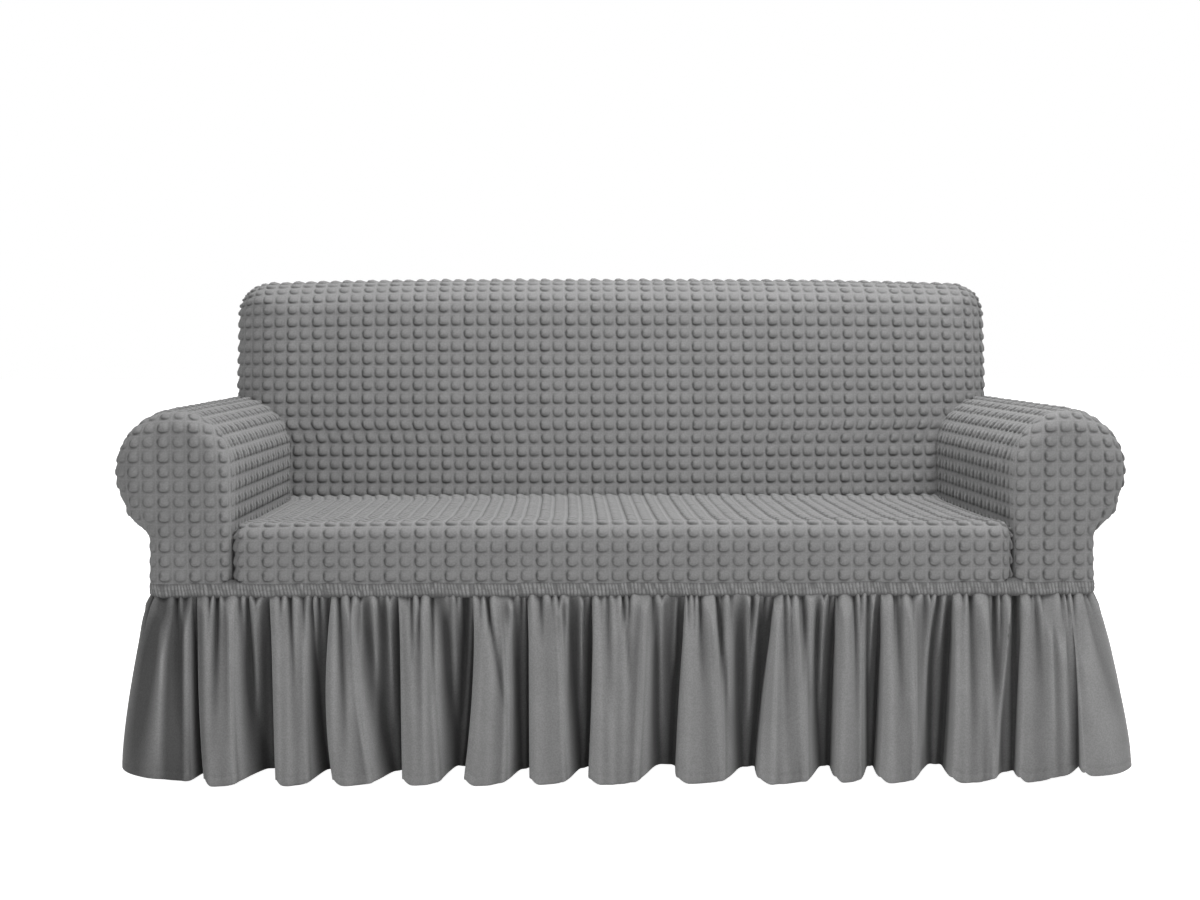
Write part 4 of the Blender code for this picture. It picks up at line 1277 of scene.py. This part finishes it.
def skirt_section(level):
    """The skirt's cross-section at a level (0 at the band, 1 at the hem): at, reach, rise and crest.

    Each fold breaks to the left like a wave: a face that falls to the right, a valley, and then the
    steep wall of the next fold, which overhangs a little. The crest comes along to tell how deep
    each place lies beside it."""
    fold = all_folds()
    bow = fold.bow * 4 * level * (1 - level)
    left = mix(fold.left_top, fold.left, level) + bow
    right = mix(fold.right_top, fold.right, level) + bow
    next_left = np.append(left[1:], left[0] + RING_LENGTH)
    crest = mix(TOP_FOLD_REACH, fold.reach, 1 - (1 - level) ** SKIRT_SPREAD)
    deepest = fold.dip + VALLEY_DEEPER * (fold.dip > DEEP_DIP)
    floor = mix(TOP_VALLEY_REACH, -deepest, 1 - (1 - level) ** VALLEY_SPREAD)
    edge = mix(floor, crest, EDGE_HEIGHT)

    def across(start, end, share):
        return mix(start[:, None], end[:, None], share)

    face = (np.arange(FACE_STEPS) / FACE_STEPS) ** 1.15
    valley = np.arange(VALLEY_STEPS) / VALLEY_STEPS
    angle = np.arange(WALL_STEPS) / WALL_STEPS * np.pi / 2
    overhang = EDGE_OVERHANG * smooth_step(level, *OVERHANG_GROWS)
    foot = mix(floor, crest, valley_height(1.0, level))
    wall_at = next_left[:, None] + overhang * (1 - np.sin(angle)) + EDGE_ROUND * (1 - np.cos(angle)) ** 2
    at = np.concatenate([
        across(left + EDGE_ROUND, right, face),
        across(right, next_left + overhang, valley),
        wall_at,
    ], 1)
    reach = np.concatenate([
        across(floor, crest, face_height(face)),
        across(floor, crest, valley_height(valley, level)),
        across(foot, np.roll(edge, -1), np.sin(angle)),
    ], 1)
    in_valley = fold.lift[:, None] * np.sin(np.pi * valley) ** 0.8 + SLOT_LIFT * valley**3
    at_edge = EDGE_LIFT * np.clip(1 - face / 0.25, 0, 1) ** 2
    at_shoulder = SHOULDER_LIFT * np.clip(2.5 * face - 1.5, 0, 1) ** 2
    rise = np.concatenate([
        np.broadcast_to(at_edge + at_shoulder, (len(left), FACE_STEPS)),
        in_valley + SHOULDER_LIFT * (1 - valley),
        np.broadcast_to(mix(SLOT_LIFT, EDGE_LIFT, np.sin(angle)), wall_at.shape),
    ], 1)
    crests = across(crest, np.roll(crest, -1), np.clip(np.arange(at.shape[1]) / FACE_STEPS - 1, 0, 1))
    return at.ravel(), reach.ravel(), rise.ravel() * level**2, crests.ravel()


# %% Skirt
def softened(heights, spread):
    """Heights along a ring blurred by a bell curve, whose spread is counted in columns."""
    turns = np.fft.rfftfreq(heights.shape[1])
    waves = np.fft.rfft(heights, axis=1) * np.exp(-2 * (np.pi * spread * turns) ** 2)
    return np.fft.irfft(waves, heights.shape[1], axis=1)


TOP_REACH = -0.0005
TOP_FLARE = 0.38
TOP_WAVER_END = 0.05
CORNER_AT = 0.84
CORNER_WIDTH = 0.075
CORNER_LIFT = 0.024
STITCH_LEVEL = 0.951
STITCH_WIDTH = 0.005
STITCH_DEPTH = 0.0008
STITCH_LENGTH = 0.013
PUCKERS_WIDTH = 0.03
PUCKERS_DEPTH = 0.0004
HEM_ROWS = [-1, -2, -3, -4]
HEM_PLY = 0.0024
HEM_RISE = 0.0008
HEM_SHADE = 0.3
# Painted shade in creases, valleys, the front left corner and the hem's inner layer; painted highlight on
# ridges.
CREASE_SHADE_GAIN = 90.0
CREASE_COLUMNS = 4
VALLEY_SHADE_GAIN = 3.9
VALLEY_COLUMNS = 2
VALLEY_FREE = 0.010
CORNER_SHADE = (0.70, -0.80, 0.06)

# Rows are close together in the fine gathers and at the hem's stitches.
levels = [[0, 0.007], np.linspace(0.015, 0.12, 8)[:-1], np.linspace(0.12, 0.93, 21)]
levels = np.concatenate([*levels, [0.945, 0.951, 0.957, 0.975, 0.99, 1.0]])
level = levels[:, None]
at, reach, rise, crest = np.stack([np.array(skirt_section(share)) for share in levels], 1)
reach = reach + line_relief(at, level) + long_folds(at, level)
reach = np.minimum(reach, TOP_REACH + TOP_FLARE * SKIRT_TOP_Z * level) + gather_relief(at, level)
reach -= STITCH_DEPTH * bell(level, STITCH_LEVEL, STITCH_WIDTH)
puckers = np.sin(at * 2 * np.pi / STITCH_LENGTH) * bell(level, STITCH_LEVEL, PUCKERS_WIDTH)
reach += PUCKERS_DEPTH * puckers

# The hollows map: painted shade below its neighbours, deep beside a crest and at the front left
# corner, and painted highlight where the cloth stands above its neighbours.
hollows = CREASE_SHADE_GAIN * (softened(reach, CREASE_COLUMNS) - reach)
hollows += VALLEY_SHADE_GAIN * (softened(crest - reach, VALLEY_COLUMNS) - VALLEY_FREE)
hollows += CORNER_SHADE[0] * bell(at, *CORNER_SHADE[1:])
from_side = np.abs((at + RING_LENGTH / 4) % (RING_LENGTH / 2) - RING_LENGTH / 4)
rise = rise + CORNER_LIFT * level**2 * bell(from_side, CORNER_AT, CORNER_WIDTH)
rise += seam_waver(at) * np.clip(1 - level / TOP_WAVER_END, 0, 1)
outer = ring_point(at, reach, SKIRT_TOP_Z * (1 - level) + rise)
along = unit(np.roll(outer[-1:], -1, 1) - np.roll(outer[-1:], 1, 1))
inner = outer[HEM_ROWS] - unit(np.cross(along, [0, 0, 1.0])) * HEM_PLY + [0, 0, HEM_RISE]
points = np.concatenate([outer, inner])
# Painted shade on the hem's inner layer.
hollows = np.concatenate([hollows, np.full(inner.shape[:2], HEM_SHADE)])
hollows = np.append(hollows, hollows[:, :1], 1)
across = np.arange(at.shape[1] + 1) / (FACE_STEPS + VALLEY_STEPS + WALL_STEPS)
cells = np.stack(np.meshgrid(across, np.concatenate([levels, 2.004 - levels[HEM_ROWS]])), -1)
ways = {"ring": True, "turned": True, "hollows": hollows}
skirt = cloth_piece("gathered_skirt", skirt_knit, points, cells, **ways)
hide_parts("skirt")
lengths = np.linalg.norm(np.roll(points, -1, 1) - points, axis=2).sum(1)
print("skirt's length at the hem and the band, metres:", lengths[[len(levels) - 1, 0]].round(2))


# %% [markdown]
# ## The camera, the lights and the floor
# The object stands on a white floor in a white studio. The studio lights it from all round, a little
# more from the left. Two soft square lights do the modelling, one high in front and to the right, the
# other straight above, so the folds and the bubbles are darker on their left and lower sides. There
# the materials add painted shade as well.

# %% Camera
def put_in_scene(name, data, place, turns):
    """A camera or a light as an object of the scene."""
    thing = bpy.data.objects.new(name, data)
    thing.location = place
    thing.rotation_euler = turns
    bpy.context.scene.collection.objects.link(thing)
    return thing


CAMERA_PLACE = (-0.1119, -3.6015, 0.7829)
CAMERA_TILT = 3.5452
CAMERA_TURN = -1.2267
camera_data = bpy.data.cameras.new("camera")
camera_data.sensor_width = 36.0
camera_data.lens = 54.483
turns = (math.radians(90 - CAMERA_TILT), 0.0, math.radians(CAMERA_TURN))
bpy.context.scene.camera = put_in_scene("camera", camera_data, CAMERA_PLACE, turns)
print("camera at", CAMERA_PLACE)


# %% Lights
WORLD_LIGHT = (0.56, 0.48)


def soft_light(name, place, target, size, power):
    """A square area light at a place, turned towards a target."""
    data = bpy.data.lights.new(name, "AREA")
    data.shape = "SQUARE"
    data.size = size
    data.energy = power
    away = np.array(place) - np.array(target)
    turn = math.atan2(away[0], -away[1])
    tilt = math.atan2(np.hypot(away[0], away[1]), away[2])
    print(f"{name} light: {power} watts at", place)
    return put_in_scene(name, data, place, (tilt, 0.0, turn))


soft_light("front", (0.7, -0.9, 2.8), target=(0, 0, 0.5), size=2.0, power=58)
soft_light("overhead", (0.0, 0.2, 3.2), target=(0, 0, 0.5), size=1.6, power=22)
world = bpy.data.worlds.new("studio")
world.use_nodes = True
background = world.node_tree.nodes["Background"]
background.inputs["Color"].default_value = (1.0, 1.0, 1.0, 1.0)
tree = world.node_tree
sight = node(tree, "LightPath", ())["Is Camera Ray"]
towards = node(tree, "TexCoord", ())["Generated"]
glow = ramp(tree, node(tree, "SeparateXYZ", [towards])[0], -1.0, 1.0, *WORLD_LIGHT)
feed(tree, background.inputs["Strength"], maths(tree, "MAXIMUM", glow, sight))
bpy.context.scene.world = world
bpy.context.scene.view_settings.view_transform = "Standard"


# %% Floor
def floor_material():
    """White to the camera, and a pale matte floor to the light."""
    material, shader = shader_of("studio_floor", roughness=0.9, sheen=0.0)
    shader.inputs["Base Color"].default_value = (0.90, 0.90, 0.90, 1.0)
    shader.inputs["Emission Color"].default_value = (1.0, 1.0, 1.0, 1.0)
    tree = material.node_tree
    feed(tree, shader.inputs["Emission Strength"], node(tree, "LightPath", ())["Is Camera Ray"])
    return material


FLOOR_HALF = 30
FLOOR_Z = -0.002
floor_mesh = bpy.data.meshes.new("floor")
corners = [(x * FLOOR_HALF, y * FLOOR_HALF, FLOOR_Z) for x, y in ((-1, -1), (1, -1), (1, 1), (-1, 1))]
floor_mesh.from_pydata(corners, [], [(0, 1, 2, 3)])
floor_mesh.materials.append(floor_material())
floor = bpy.data.objects.new("floor", floor_mesh)
bpy.context.scene.collection.objects.link(floor)
